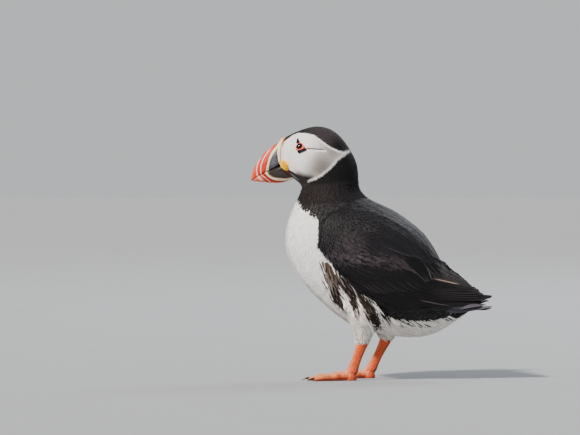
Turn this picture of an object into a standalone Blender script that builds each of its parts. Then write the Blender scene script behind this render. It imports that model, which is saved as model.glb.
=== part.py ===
"""Atlantic puffin in breeding dress, life size, standing on both feet with its head up.

Metres, +Z up. The bird faces -Y, and its left side is +X. The origin is on the floor, midway between the
bill's tip and the tail's tip. Tables of stations are in millimetres: each row is one cross-section, and
the sections between two rows are worked out by a smooth curve through them.
"""

import math

import bmesh
import bpy
from mathutils import Matrix, Vector
from mathutils.bvhtree import BVHTree

MM = 0.001

# Driving dimensions, in mm.
BILL_TIP_Y = -104.8
TAIL_TIP_Y = 104.8
CROWN_Z = 220.6
TOUCHING_GAP = 0.3  # between two pieces that touch
PART_CUT = 0.35  # width of the cuts that part the body into head, neck, trunk, mantle and tail
STANCE = 19.0  # sideways distance of each ankle from the middle
TARSUS_WIDTH = 4.6
EYE_RADIUS = 4.3
SOLE_LEVEL = 0.0
FLOOR_BLOCK = 120.0  # size of the block that cuts the soles flat

# Feathered body: back point (y, z), front point (y, z), half width, fullness (+ to the back, - to the front).
BODY = [
    ((-80.2, 205.6), (-76.6, 181.0), 6.9, -0.06),
    ((-78.2, 208.6), (-72.6, 177.4), 8.5, -0.08),
    ((-71.4, 213.0), (-68.4, 174.6), 12.2, -0.12),
    ((-60.4, 217.7), (-65.0, 172.2), 16.2, -0.16),
    ((-48.0, CROWN_Z), (-63.0, 170.4), 18.8, -0.16),
    ((-36.0, 218.2), (-62.0, 169.0), 20.2, -0.12),
    ((-26.8, 211.4), (-61.4, 167.6), 20.8, -0.06),
    ((-18.9, 200.6), (-61.4, 165.8), 21.2, 0.00),
    ((-12.9, 188.8), (-62.2, 163.2), 21.6, 0.04),
    ((-11.2, 177.0), (-63.4, 160.0), 22.4, 0.04),
    ((-10.6, 167.2), (-65.0, 156.2), 24.4, 0.02),
    ((-4.4, 159.2), (-67.4, 151.4), 28.0, 0.00),
    ((7.0, 153.2), (-71.0, 143.6), 32.8, -0.02),
    ((20.2, 147.2), (-74.8, 131.2), 37.6, -0.02),
    ((33.2, 138.4), (-75.2, 115.4), 41.0, 0.00),
    ((45.4, 128.2), (-70.2, 100.2), 42.4, 0.02),
    ((54.4, 115.8), (-58.8, 82.4), 42.0, 0.02),
    ((61.0, 103.4), (-40.6, 64.2), 39.8, 0.00),
    ((65.4, 92.0), (-20.0, 49.6), 36.0, -0.02),
    ((71.0, 83.6), (2.0, 41.6), 30.8, -0.04),
    ((77.0, 76.8), (24.0, 38.0), 24.6, -0.04),
    ((82.4, 71.8), (42.0, 37.4), 18.6, -0.02),
    ((86.6, 68.8), (57.6, 42.0), 13.0, 0.00),
    ((89.6, 66.8), (71.2, 50.4), 8.4, 0.00),
    ((91.6, 65.4), (81.6, 58.0), 4.4, 0.00),
]
BODY_STEPS = 2
BODY_SEGMENTS = 20
BODY_SQUARENESS = 2.15

# Planes that part the body: a point (y, z) on the plane, and its normal (y, z), which points headwards.
THROAT_PLANE = ((-40.0, 170.6), (-0.18, 1.0))
COLLAR_PLANE = ((-36.0, 156.4), (-0.10, 1.0))
RUMP_PLANE = ((56.0, 66.0), (-0.90, 0.42))
BACK_PLANE = ((22.0, 128.0), (-0.68, -0.73))

# Upper half of the bill, base to tip: ridge point (y, z), cutting edge (y, z), half width, fullness.
BILL_UPPER = [
    ((-73.4, 209.8), (-76.0, 187.6), 6.6, -0.10),
    ((-76.6, 209.0), (-79.4, 186.2), 6.6, -0.10),
    ((-81.2, 205.9), (-83.4, 184.8), 6.2, -0.14),
    ((-87.6, 201.9), (-88.4, 182.8), 5.5, -0.16),
    ((-93.6, 196.6), (-92.8, 180.2), 4.7, -0.16),
    ((-98.4, 190.4), (-96.2, 178.6), 3.8, -0.14),
    ((-101.8, 184.4), (-99.2, 177.2), 2.9, -0.10),
    ((-104.0, 178.8), (-102.4, 175.0), 1.9, 0.00),
    ((BILL_TIP_Y, 174.6), (-104.2, 173.4), 0.7, 0.00),
]

# Lower half of the bill, base to tip: cutting edge (y, z), keel (y, z), half width, fullness.
BILL_LOWER = [
    ((-76.0, 186.8), (-66.6, 175.0), 5.6, 0.24),
    ((-79.8, 185.4), (-70.4, 173.8), 5.6, 0.24),
    ((-84.2, 183.8), (-77.6, 171.4), 5.1, 0.28),
    ((-88.6, 181.9), (-84.8, 171.0), 4.4, 0.30),
    ((-93.0, 179.4), (-91.0, 171.4), 3.6, 0.30),
    ((-97.2, 177.2), (-96.6, 172.0), 2.6, 0.24),
    ((-101.2, 175.0), (-101.0, 172.6), 1.6, 0.10),
    ((-103.6, 173.4), (-103.4, 172.6), 0.6, 0.00),
]
BILL_STEPS = 2
BILL_SEGMENTS = 12

# Raised cream ridge round the upper bill's base, rear to front: rows as for the bill.
RIDGE = [
    ((-75.6, 210.2), (-77.2, 187.8), 6.6, -0.10),
    ((-76.3, 210.6), (-77.9, 187.3), 7.7, -0.10),
    ((-77.5, 210.1), (-78.9, 186.8), 8.0, -0.12),
    ((-78.7, 208.9), (-79.7, 186.4), 7.4, -0.14),
    ((-79.4, 207.8), (-80.1, 186.4), 6.0, -0.14),
]
RIDGE_BOW = 2.4  # how far the ridge bulges forwards between its ends

# Wings, shoulder to tip: upper edge (y, z), lower edge (y, z), least distance of each edge from the middle,
# outward bulge, thickness.
WING = [
    ((-45.4, 134.0), (-47.0, 118.0), 0.0, 0.0, 0.0, 4.0),
    ((-41.4, 141.4), (-43.8, 110.6), 0.0, 0.0, 0.0, 7.0),
    ((-33.6, 146.4), (-37.6, 104.2), 0.0, 0.0, 0.0, 9.0),
    ((-18.4, 149.6), (-26.2, 91.0), 0.0, 0.0, 0.0, 10.0),
    ((0.6, 147.4), (-12.6, 78.6), 0.0, 0.0, 0.0, 10.0),
    ((21.0, 138.6), (1.6, 69.6), 0.0, 10.0, 4.0, 9.6),
    ((39.6, 125.6), (17.2, 61.4), 8.0, 24.0, 10.0, 8.6),
    ((54.6, 111.0), (37.6, 60.4), 9.4, 27.0, 11.0, 7.4),
    ((68.8, 96.8), (57.6, 61.2), 8.4, 22.6, 8.0, 6.0),
    ((84.2, 83.4), (77.0, 64.0), 6.8, 16.4, 4.0, 4.2),
    ((96.0, 76.4), (92.6, 66.6), 5.2, 10.6, 1.6, 3.0),
    ((TAIL_TIP_Y - 0.6, 71.8), (TAIL_TIP_Y - 1.2, 69.4), 4.8, 6.4, 0.2, 1.8),
]
WING_STEPS = 2
WING_ACROSS = 6
WING_LIE = 1.5  # how far the middle of a wing's thickness lies outside the body
WING_EDGE = 0.30  # thickness of a wing's edges, as a share of its middle's
WING_FULLNESS = 0.6  # below 1 the thickness keeps up towards the edges
WING_CROWDING = 1.25  # above 1 the points of a section crowd to its upper edge, where the back turns over
WING_SLOPE = 0.45  # the steepest part of the body that the wing's lie still follows
WING_BLEND = 2.0  # softness of the change from lying on the body to standing free, in mm

# Tail feathers, root to end: middle (y, z), half width, half thickness.
TAIL_FAN = [
    ((66.0, 67.0), 10.0, 3.4),
    ((78.0, 65.2), 12.0, 2.4),
    ((90.0, 63.4), 14.0, 1.6),
    ((99.0, 62.2), 13.0, 1.2),
    ((103.4, 61.7), 9.0, 0.9),
    ((TAIL_TIP_Y, 61.5), 3.0, 0.6),
]

TAIL_SEGMENTS = 14

# Feathered thighs, hip to ankle: middle (x, y, z), half length front to back, half width across.
THIGH_LEFT = [
    ((22.0, -8.0, 74.0), 21.0, 12.0),
    ((23.6, -7.6, 62.0), 18.6, 12.6),
    ((23.2, -6.6, 51.0), 13.4, 10.6),
    ((21.0, -7.2, 42.0), 8.6, 7.4),
    ((STANCE, -8.0, 35.4), 5.8, 5.1),
    ((STANCE, -8.3, 32.0), 4.3, 3.8),
]
THIGH_RIGHT = [
    ((-22.0, 5.0, 74.0), 20.0, 12.0),
    ((-23.6, 7.0, 62.0), 18.0, 12.6),
    ((-23.2, 9.4, 51.0), 13.0, 10.6),
    ((-21.0, 12.4, 42.0), 8.4, 7.4),
    ((-STANCE, 13.8, 35.8), 5.8, 5.1),
    ((-STANCE, 13.2, 32.6), 4.3, 3.8),
]

THIGH_STEPS = 2
THIGH_SEGMENTS = 14

# Each leg: ankle and foot joint (y, z), and how far the foot turns out, in degrees.
LEG_LEFT = ((-7.2, 34.0), (-18.2, 5.6), 4.0)
LEG_RIGHT = ((13.6, 34.4), (-1.6, 5.6), 4.0)
# Shape of the bare leg, ankle to foot: share of the way, half length front to back, half width across.
TARSUS = [
    (-0.10, 4.6, 3.2),
    (0.12, 5.2, 3.6),
    (0.30, 4.6, 2.8),
    (0.52, 4.3, TARSUS_WIDTH / 2),
    (0.76, 4.7, 2.5),
    (0.94, 5.6, 3.4),
    (1.06, 5.0, 3.4),
]
TARSUS_SEGMENTS = 10

# Foot's joint: lift of each section above the floor, half length, half width.
FOOT_JOINT = [
    (-1.0, 5.2, 4.4),
    (2.6, 5.6, 4.6),
    (5.4, 4.6, 3.8),
]
FOOT_SEGMENTS = 12

# Toes: name, angle out from the foot's middle line in degrees, length without the claw, radius at the root.
TOES = [
    ("outer", 21.0, 35.0, 3.1),
    ("middle", 0.0, 36.0, 3.4),
    ("inner", -25.0, 28.0, 3.0),
]
TOE_TAPER = 0.58
TOE_FLAT = 0.80  # height of a toe's middle line above the floor, as a share of its radius
TOE_TALL = 1.30  # height of a toe's section, as a share of its width
TOE_ROOT = 0.4  # how far ahead of the foot's joint the toes start
TOE_SECTIONS = 8
TOE_SEGMENTS = 8
TOE_END = 0.55  # last section's radius, as a share of what the taper gives
KNUCKLES = 3
KNUCKLE_SWELL = 0.16
KNUCKLE_START = 0.1  # the first knuckle's place, as a share of the distance between two
KNUCKLE_FADE = 0.3
WEB_THICK = 1.3
WEB_BELOW = 1.0  # how far the web starts below the floor, before the sole is cut flat
WEB_HEEL = 2.0  # how far behind the toes' roots the web starts
WEB_POINTS = 6  # along the front edge, between two toes
WEB_REACH = 0.90  # share of each toe's length that the web reaches
WEB_SCALLOP = 0.86  # how far the web's front edge draws in between two toes
CLAW_LENGTH = 7.0
CLAW_RADIUS = 1.5
CLAW_ROOT = (-0.8, 1.9)  # from the toe's end: along it, and up
CLAW_ARCH = 0.9
CLAW_FALL = 1.45
CLAW_POINT = 0.18  # radius at the tip, as a share of the root's
CLAW_NARROW = 0.8  # width across, as a share of height
CLAW_SECTIONS = 4
CLAW_SEGMENTS = 6

# Eye and its ornaments on the head's left side: middle (y, z).
EYE_AT = (-62.8, 203.0)
EYE_STANDS_OUT = 1.3
UPPER_PLATE = [(-65.7, 205.8), (-62.9, 206.1), (-64.4, 210.4)]
LOWER_PLATE = [(-63.4, 196.7), (-56.6, 199.7), (-57.1, 201.1), (-64.3, 198.8)]
PLATE_THICK = 0.9  # how far a plate stands out from the head
PLATE_DEEP = 0.8  # how deep its back lies in the head
PLATE_CORNER = 0.12  # rounding of its corners, as a share of each edge
ROSETTE_AT = (7.4, -75.2, 186.3)
ROSETTE_HALF = (2.4, 2.8, 4.8)  # across, and along its short and long axes
ROSETTE_TURN = -36.0  # lean of the long axis: its lower end is the rear one

PLUMAGE = {"black": (0.012, 0.011, 0.013), "white": (0.82, 0.80, 0.78)}
ORANGE = (0.86, 0.20, 0.03)
CREAM = (0.85, 0.72, 0.42)
YELLOW = (0.95, 0.55, 0.02)
SLATE = (0.12, 0.14, 0.17)
CLAW_BLACK = (0.03, 0.025, 0.022)
EYE_BLACK = (0.02, 0.012, 0.01)


def material(name, colour, roughness):
    """A Principled material, made once and then shared."""
    found = bpy.data.materials.get(name)
    if found:
        return found
    made = bpy.data.materials.new(name)
    made.use_nodes = True
    shader = made.node_tree.nodes["Principled BSDF"]
    shader.inputs["Base Color"].default_value = (*colour, 1.0)
    shader.inputs["Roughness"].default_value = roughness
    shader.inputs["Metallic"].default_value = 0.0
    return made


def catmull_rom(t, a, b, c, d):
    """The value a share t of the way from b to c, on the curve through a, b, c and d."""
    square = (2 * a - 5 * b + 4 * c - d) * t**2
    cube = (3 * b - a - 3 * c + d) * t**3
    return (2 * b + (c - a) * t + square + cube) / 2


def curve_through(values, steps):
    """Values between the given ones, on a Catmull-Rom curve: steps intervals between each two."""
    before = [2 * a - b for a, b in zip(values[0], values[1])]
    after = [2 * a - b for a, b in zip(values[-1], values[-2])]
    rows = [before, *map(list, values), after]
    found = []
    for i in range(1, len(rows) - 2):
        four = list(zip(*rows[i - 1 : i + 3]))
        for k in range(steps):
            found.append([catmull_rom(k / steps, *row) for row in four])
    return found + [list(values[-1])]


def rounded(angle, power):
    """Cosine and sine of an angle on a superellipse."""
    c, s = math.cos(angle), math.sin(angle)
    return (
        math.copysign(abs(c) ** (2 / power), c),
        math.copysign(abs(s) ** (2 / power), s),
    )


def keep_mesh(name, bm, colour_name, colour, roughness=0.6):
    """Makes an object of a bmesh, in millimetres until now, with its faces pointing out."""
    bmesh.ops.recalc_face_normals(bm, faces=bm.faces)
    bmesh.ops.scale(bm, vec=(MM, MM, MM), verts=bm.verts)
    mesh = bpy.data.meshes.new(name)
    bm.to_mesh(mesh)
    bm.free()
    mesh.shade_smooth()
    made = bpy.data.objects.new(name, mesh)
    bpy.context.scene.collection.objects.link(made)
    mesh.materials.append(material(colour_name, colour, roughness))
    return made


def skin_rings(rings):
    """A closed bmesh through rings of points, each ring with as many points as the next."""
    bm = bmesh.new()
    rows = [[bm.verts.new(p) for p in ring] for ring in rings]
    count = len(rows[0])
    for low, high in zip(rows, rows[1:]):
        for i in range(count):
            bm.faces.new((low[i], low[(i + 1) % count], high[(i + 1) % count], high[i]))
    bm.faces.new(rows[0])
    bm.faces.new(rows[-1])
    return bm


def sagittal_rings(table, steps, segments, over=BODY_SQUARENESS, under=BODY_SQUARENESS, bow=0.0):
    """Rings of a body that is the same on both sides.

    Each row of the table is (top point, bottom point, half width, fullness). over and under are how square
    the sections are above and below their middle: 2 is round. bow bulges each section's middle forwards.
    """
    flat = [(*top, *bottom, half, lean) for top, bottom, half, lean in table]
    rings = []
    for ty, tz, by, bz, half, lean in curve_through(flat, steps):
        middle = Vector((0, (ty + by) / 2, (tz + bz) / 2))
        arm = Vector((0, (ty - by) / 2, (tz - bz) / 2))
        ring = []
        for i in range(segments):
            angle = 2 * math.pi * i / segments
            c, s = rounded(angle, over if math.cos(angle) > 0 else under)
            forwards = Vector((0, -bow * (1 - c**2), 0))
            ring.append(middle + arm * c + forwards + Vector((half * s * (1 + lean * c), 0, 0)))
        rings.append(ring)
    return rings


def oval(middle, aside, upwards, segments):
    """A ring of points about a middle, with two half axes."""
    turns = [2 * math.pi * i / segments for i in range(segments)]
    return [middle + aside * math.cos(a) + upwards * math.sin(a) for a in turns]


def oval_rings(table, steps, segments):
    """Level rings from rows of (middle, half length along Y, half width along X)."""
    flat = [(*middle, long, wide) for middle, long, wide in table]
    return [
        oval(Vector((x, y, z)), Vector((wide, 0, 0)), Vector((0, long, 0)), segments)
        for x, y, z, long, wide in curve_through(flat, steps)
    ]


def grown(obj, gap=TOUCHING_GAP):
    """A hidden copy of an object, larger by the gap all over: the room that its neighbour leaves for it."""
    bm = bmesh.new()
    bm.from_mesh(obj.data)
    bm.normal_update()
    moves = [(v, v.normal * gap * MM) for v in bm.verts]
    for v, move in moves:
        v.co += move
    mesh = bpy.data.meshes.new(obj.name + "_room")
    bm.to_mesh(mesh)
    bm.free()
    made = bpy.data.objects.new(obj.name + "_room", mesh)
    bpy.context.scene.collection.objects.link(made)
    made.hide_render = True
    made.display_type = "WIRE"
    return made


def keep_largest(bm):
    """Deletes all but the largest connected piece: a cut can leave a crumb."""
    left, pieces = set(bm.verts), []
    while left:
        todo = [left.pop()]
        piece = set(todo)
        while todo:
            for edge in todo.pop().link_edges:
                for v in edge.verts:
                    if v in left:
                        left.discard(v)
                        piece.add(v)
                        todo.append(v)
        pieces.append(piece)
    pieces.sort(key=len)
    for piece in pieces[:-1]:
        bmesh.ops.delete(bm, geom=list(piece), context="VERTS")


def combine(obj, operation, others):
    """Joins others to an object, or cuts them from it, and removes them."""
    for other in others:
        step = obj.modifiers.new(operation, "BOOLEAN")
        step.operation = operation
        step.solver = "EXACT"
        step.use_self = False
        step.object = other
    graph = bpy.context.evaluated_depsgraph_get()
    mesh = bpy.data.meshes.new_from_object(obj.evaluated_get(graph), depsgraph=graph)
    obj.modifiers.clear()
    bm = bmesh.new()
    bm.from_mesh(mesh)
    bmesh.ops.remove_doubles(bm, verts=bm.verts, dist=0.001 * MM)
    bmesh.ops.dissolve_degenerate(bm, edges=bm.edges, dist=0.001 * MM)
    keep_largest(bm)
    bmesh.ops.triangulate(bm, faces=bm.faces)
    bm.to_mesh(obj.data)
    bm.free()
    bpy.data.meshes.remove(mesh)
    for other in others:
        bpy.data.objects.remove(other)
    return obj


def cut(obj, *neighbours):
    """Cuts away the room that the neighbours need."""
    return combine(obj, "DIFFERENCE", [grown(n) for n in neighbours])


def parted(name, whole, planes, colour_name, colour):
    """A copy of the whole body between planes.

    Each plane is (point, normal, side), where side 1 keeps what is headwards of it, and -1 the rest.
    """
    bm = bmesh.new()
    bm.from_mesh(whole.data)
    for (y, z), (ny, nz), side in planes:
        normal = Vector((0, ny, nz)).normalized()
        point = Vector((0, y, z)) * MM + normal * side * PART_CUT / 2 * MM
        found = bmesh.ops.bisect_plane(
            bm,
            geom=[*bm.verts, *bm.edges, *bm.faces],
            plane_co=point,
            plane_no=normal,
            clear_inner=side > 0,
            clear_outer=side < 0,
        )
        rim = [g for g in found["geom_cut"] if isinstance(g, bmesh.types.BMEdge)]
        bmesh.ops.holes_fill(bm, edges=rim, sides=0)
    bmesh.ops.recalc_face_normals(bm, faces=bm.faces)
    mesh = bpy.data.meshes.new(name)
    bm.to_mesh(mesh)
    bm.free()
    mesh.shade_smooth()
    made = bpy.data.objects.new(name, mesh)
    bpy.context.scene.collection.objects.link(made)
    mesh.materials.append(material(colour_name, colour, 0.7))
    return made


RAY_NUDGES = (0.0, 0.07)  # a ray that slips between two faces is cast again a little aside, in mm


def surface_of(obj):
    """A search tree over an object's faces, for finding a place on it."""
    bm = bmesh.new()
    bm.from_mesh(obj.data)
    tree = BVHTree.FromBMesh(bm)
    bm.free()
    return tree


def on_side(tree, y, z, side):
    """The point and normal of a surface at (y, z), coming from one side. The point is in metres."""
    for nudge in RAY_NUDGES:
        start = Vector((side * 200, y + nudge, z + nudge)) * MM
        point, normal, _, _ = tree.ray_cast(start, Vector((-side, 0, 0)))
        if point:
            break
    return point, normal


def feathered_body():
    """Head, neck, trunk, mantle and tail as one body, parted by thin cuts."""
    whole = keep_mesh(
        "body", skin_rings(sagittal_rings(BODY, BODY_STEPS, BODY_SEGMENTS)), "black plumage", PLUMAGE["black"]
    )
    throat, collar, rump, back = THROAT_PLANE, COLLAR_PLANE, RUMP_PLANE, BACK_PLANE
    black, white = PLUMAGE["black"], PLUMAGE["white"]
    head = parted("head", whole, [(*throat, 1)], "white plumage", white)
    neck = parted("neck", whole, [(*throat, -1), (*collar, 1)], "black plumage", black)
    trunk = parted("trunk", whole, [(*collar, -1), (*rump, 1), (*back, 1)], "white plumage", white)
    mantle = parted("mantle", whole, [(*collar, -1), (*rump, 1), (*back, -1)], "black plumage", black)
    tail = parted("tail", whole, [(*rump, -1)], "black plumage", black)
    return whole, head, neck, trunk, mantle, tail


def tail_feathers():
    """The tail's feathers, lying flat in a narrow fan."""
    rings = [
        oval(Vector((0, y, z)), Vector((half, 0, 0)), Vector((0, 0, thick)), TAIL_SEGMENTS)
        for (y, z), half, thick in TAIL_FAN
    ]
    return keep_mesh("tail_fan", skin_rings(rings), "black plumage", PLUMAGE["black"])


def horn(name, table, steps, colour_name, colour, over, under, bow=0.0):
    """A piece of the bill: its edge at the mouth is square, and its other edge round."""
    rings = sagittal_rings(table, steps, BILL_SEGMENTS, over, under, bow)
    return keep_mesh(name, skin_rings(rings), colour_name, colour, 0.35)


def wing(side, body_surface):
    """A folded wing: a thick blade that lies on the body, and stands free of it towards the tip."""
    rings = []
    flat = [(*upper, *lower, *rest) for upper, lower, *rest in WING]
    for uy, uz, ly, lz, xu, xl, bulge, thick in curve_through(flat, WING_STEPS):
        outer, inner = [], []
        for k in range(WING_ACROSS + 1):
            t = (k / WING_ACROSS) ** WING_CROWDING
            arch = 4 * t * (1 - t)
            y, z = uy + (ly - uy) * t, uz + (lz - uz) * t
            least = xu + (xl - xu) * t + bulge * arch
            found, facing = on_side(body_surface, y, z, 1)
            lies = found.x / MM + WING_LIE / max(facing.x, WING_SLOPE) if found else 0.0
            x = (least + lies + math.hypot(least - lies, WING_BLEND)) / 2
            half = thick / 2 * (WING_EDGE + (1 - WING_EDGE) * arch**WING_FULLNESS)
            outer.append(Vector((side * (x + half), y, z)))
            inner.append(Vector((side * (x - half), y, z)))
        rings.append(outer + inner[::-1])
    name = "wing_left" if side > 0 else "wing_right"
    return keep_mesh(name, skin_rings(rings), "black plumage", PLUMAGE["black"])


def thigh(name, table):
    """A feathered thigh, down to the ankle."""
    rings = oval_rings(table, THIGH_STEPS, THIGH_SEGMENTS)
    return keep_mesh(name, skin_rings(rings), "white plumage", PLUMAGE["white"])


def tarsus(name, side, placing):
    """The bare leg, from ankle to foot."""
    (ay, az), (fy, fz), _ = placing
    table = [
        ((side * STANCE, ay + (fy - ay) * t, az + (fz - az) * t), long, wide)
        for t, long, wide in TARSUS
    ]
    return keep_mesh(name, skin_rings(oval_rings(table, 1, TARSUS_SEGMENTS)), "orange skin", ORANGE, 0.45)


def toe_frame(side, placing, angle):
    """Where a toe starts, and the way it points, on the floor."""
    _, (fy, _), turn_out = placing
    a = math.radians(side * (angle + turn_out))
    return Vector((side * STANCE, fy - TOE_ROOT, 0)), Vector((math.sin(a), -math.cos(a), 0))


def toe_shape(radius, t):
    """Radius of a toe at a share t of its length, with knuckles."""
    taper = radius * (1 - (1 - TOE_TAPER) * t)
    knuckle = math.cos(2 * math.pi * (t * KNUCKLES - KNUCKLE_START))
    return taper * (1 + KNUCKLE_SWELL * knuckle * (1 - KNUCKLE_FADE * t))


def toe(side, placing, angle, length, radius):
    """A toe, lying on the floor from the foot's joint to where its claw starts."""
    start, along = toe_frame(side, placing, angle)
    across = along.cross(Vector((0, 0, 1)))
    rings = []
    for i in range(TOE_SECTIONS + 1):
        t = i / TOE_SECTIONS
        r = toe_shape(radius, t) * (TOE_END if i == TOE_SECTIONS else 1)
        tall = Vector((0, 0, r * TOE_TALL))
        rings.append(oval(start + along * length * t + tall * TOE_FLAT, across * r, tall, TOE_SEGMENTS))
    return keep_mesh("toe", skin_rings(rings), "orange skin", ORANGE, 0.45)


def web(side, placing):
    """The skin between the toes: a fan with a scalloped front edge."""
    start, _ = toe_frame(side, placing, 0)
    tips = []
    for (_, a0, l0, _), (_, a1, l1, _) in zip(TOES, TOES[1:]):
        for i in range(WEB_POINTS + (a1 == TOES[-1][1])):
            t = i / WEB_POINTS
            drawn_in = 1 - (1 - WEB_SCALLOP) * math.sin(math.pi * t)
            reach = (l0 + (l1 - l0) * t) * WEB_REACH * drawn_in
            _, along = toe_frame(side, placing, a0 + (a1 - a0) * t)
            tips.append(start + along * reach)
    bm = bmesh.new()
    outline = [p - Vector((0, 0, WEB_BELOW)) for p in (start + Vector((0, WEB_HEEL, 0)), *tips)]
    face = bm.faces.new([bm.verts.new(p) for p in outline])
    risen = bmesh.ops.extrude_face_region(bm, geom=[face])
    top = [g for g in risen["geom"] if isinstance(g, bmesh.types.BMVert)]
    bmesh.ops.translate(bm, verts=top, vec=(0, 0, WEB_THICK + WEB_BELOW))
    bmesh.ops.triangulate(bm, faces=bm.faces)
    return keep_mesh("web", bm, "orange skin", ORANGE, 0.45)


def foot(name, side, placing):
    """Joint, toes and web in one solid, flat underneath."""
    start, _ = toe_frame(side, placing, 0)
    table = [((start.x, start.y, lift), long, wide) for lift, long, wide in FOOT_JOINT]
    made = keep_mesh(name, skin_rings(oval_rings(table, 2, FOOT_SEGMENTS)), "orange skin", ORANGE, 0.45)
    toes = [toe(side, placing, angle, length, radius) for _, angle, length, radius in TOES]
    combine(made, "UNION", [*toes, web(side, placing)])
    return combine(made, "DIFFERENCE", [floor_block(start)])


def floor_block(middle):
    """All that is below the floor under a foot, as a cutter."""
    bm = bmesh.new()
    bmesh.ops.create_cube(bm, size=FLOOR_BLOCK)
    bmesh.ops.translate(bm, verts=bm.verts, vec=(middle.x, middle.y, SOLE_LEVEL - FLOOR_BLOCK / 2))
    made = keep_mesh("below_floor", bm, "orange skin", ORANGE)
    made.hide_render = True
    made.display_type = "WIRE"
    return made


def claw(name, side, placing, angle, length):
    """A curved claw that starts inside the toe's end and comes down to the floor."""
    start, along = toe_frame(side, placing, angle)
    across = along.cross(Vector((0, 0, 1)))
    root = start + along * (length + CLAW_ROOT[0]) + Vector((0, 0, CLAW_ROOT[1]))
    rings = []
    for i in range(CLAW_SECTIONS + 1):
        t = i / CLAW_SECTIONS
        r = CLAW_RADIUS * (1 - (1 - CLAW_POINT) * t)
        lift = CLAW_ARCH * math.sin(math.pi * t) - CLAW_FALL * t
        middle = root + along * CLAW_LENGTH * t + Vector((0, 0, lift))
        rings.append(oval(middle, across * r * CLAW_NARROW, Vector((0, 0, r)), CLAW_SEGMENTS))
    return keep_mesh(name, skin_rings(rings), "dark horn", CLAW_BLACK, 0.4)


def eye(name, side, head_surface):
    """An eyeball, set so that its front stands out a little from the head."""
    y, z = EYE_AT
    point, normal = on_side(head_surface, y, z, side)
    middle = point / MM - normal * (EYE_RADIUS - EYE_STANDS_OUT)
    bm = bmesh.new()
    bmesh.ops.create_uvsphere(bm, u_segments=12, v_segments=8, radius=EYE_RADIUS)
    bmesh.ops.translate(bm, verts=bm.verts, vec=middle)
    return keep_mesh(name, bm, "dark eye", EYE_BLACK, 0.1)


def plate(name, side, head_surface, corners):
    """A horn plate by the eye: its outline laid on the head, and given a thickness outwards."""
    outline = []
    for k in range(len(corners)):
        a, b = Vector(corners[k]), Vector(corners[(k + 1) % len(corners)])
        outline += [a.lerp(b, t) for t in (PLATE_CORNER, 0.5, 1 - PLATE_CORNER)]
    low, high = [], []
    for y, z in outline:
        point, normal = on_side(head_surface, y, z, side)
        low.append(point / MM - normal * PLATE_DEEP)
        high.append(point / MM + normal * PLATE_THICK)
    return keep_mesh(name, skin_rings([low, high]), "slate horn", SLATE, 0.4)


def rosette(name, side):
    """The folded yellow skin at the corner of the mouth."""
    x, y, z = ROSETTE_AT
    bm = bmesh.new()
    bmesh.ops.create_icosphere(bm, subdivisions=2, radius=1.0)
    bmesh.ops.scale(bm, vec=ROSETTE_HALF, verts=bm.verts)
    lean = Matrix.Rotation(math.radians(-ROSETTE_TURN), 3, "X")
    bmesh.ops.rotate(bm, cent=(0, 0, 0), matrix=lean, verts=bm.verts)
    bmesh.ops.translate(bm, vec=(side * x, y, z), verts=bm.verts)
    return keep_mesh(name, bm, "yellow skin", YELLOW, 0.5)


def build():
    """Body first, then what is set into the head, then wings, legs and feet."""
    for old in list(bpy.data.objects):
        bpy.data.objects.remove(old)
    whole, head, neck, trunk, mantle, tail = feathered_body()
    sides = surface_of(whole)
    combine(tail, "UNION", [tail_feathers()])

    upper = horn("bill_upper", BILL_UPPER, BILL_STEPS, "orange horn", ORANGE, 2.0, 4.0)
    lower = horn("bill_lower", BILL_LOWER, BILL_STEPS, "orange horn", ORANGE, 4.0, 2.0)
    ridge = horn("bill_ridge", RIDGE, 1, "cream horn", CREAM, 2.0, 4.0, RIDGE_BOW)
    cut(lower, upper)
    cut(ridge, upper, lower)
    face = surface_of(head)
    cut(head, upper, lower, ridge)
    for side, word in ((1, "left"), (-1, "right")):
        ball = eye(f"eye_{word}", side, face)
        cut(head, ball)
        above = plate(f"eye_plate_upper_{word}", side, face, UPPER_PLATE)
        below = plate(f"eye_plate_lower_{word}", side, face, LOWER_PLATE)
        cut(above, head, ball)
        cut(below, head, ball)
        mouth = rosette(f"gape_rosette_{word}", side)
        cut(mouth, head, upper, lower, ridge)

    for side, word, thigh_table, placing in (
        (1, "left", THIGH_LEFT, LEG_LEFT),
        (-1, "right", THIGH_RIGHT, LEG_RIGHT),
    ):
        feathers = cut(wing(side, sides), whole)
        leg_top = cut(thigh(f"thigh_{word}", thigh_table), whole, feathers)
        sole = foot(f"foot_{word}", side, placing)
        cut(tarsus(f"leg_{word}", side, placing), leg_top, sole)
        for toe_name, angle, length, _ in TOES:
            cut(claw(f"claw_{toe_name}_{word}", side, placing, angle, length), sole)
    bpy.data.objects.remove(whole)


build()
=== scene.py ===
import math

import bmesh
import bpy
import numpy as np
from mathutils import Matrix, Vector
from mathutils.bvhtree import BVHTree


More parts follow.
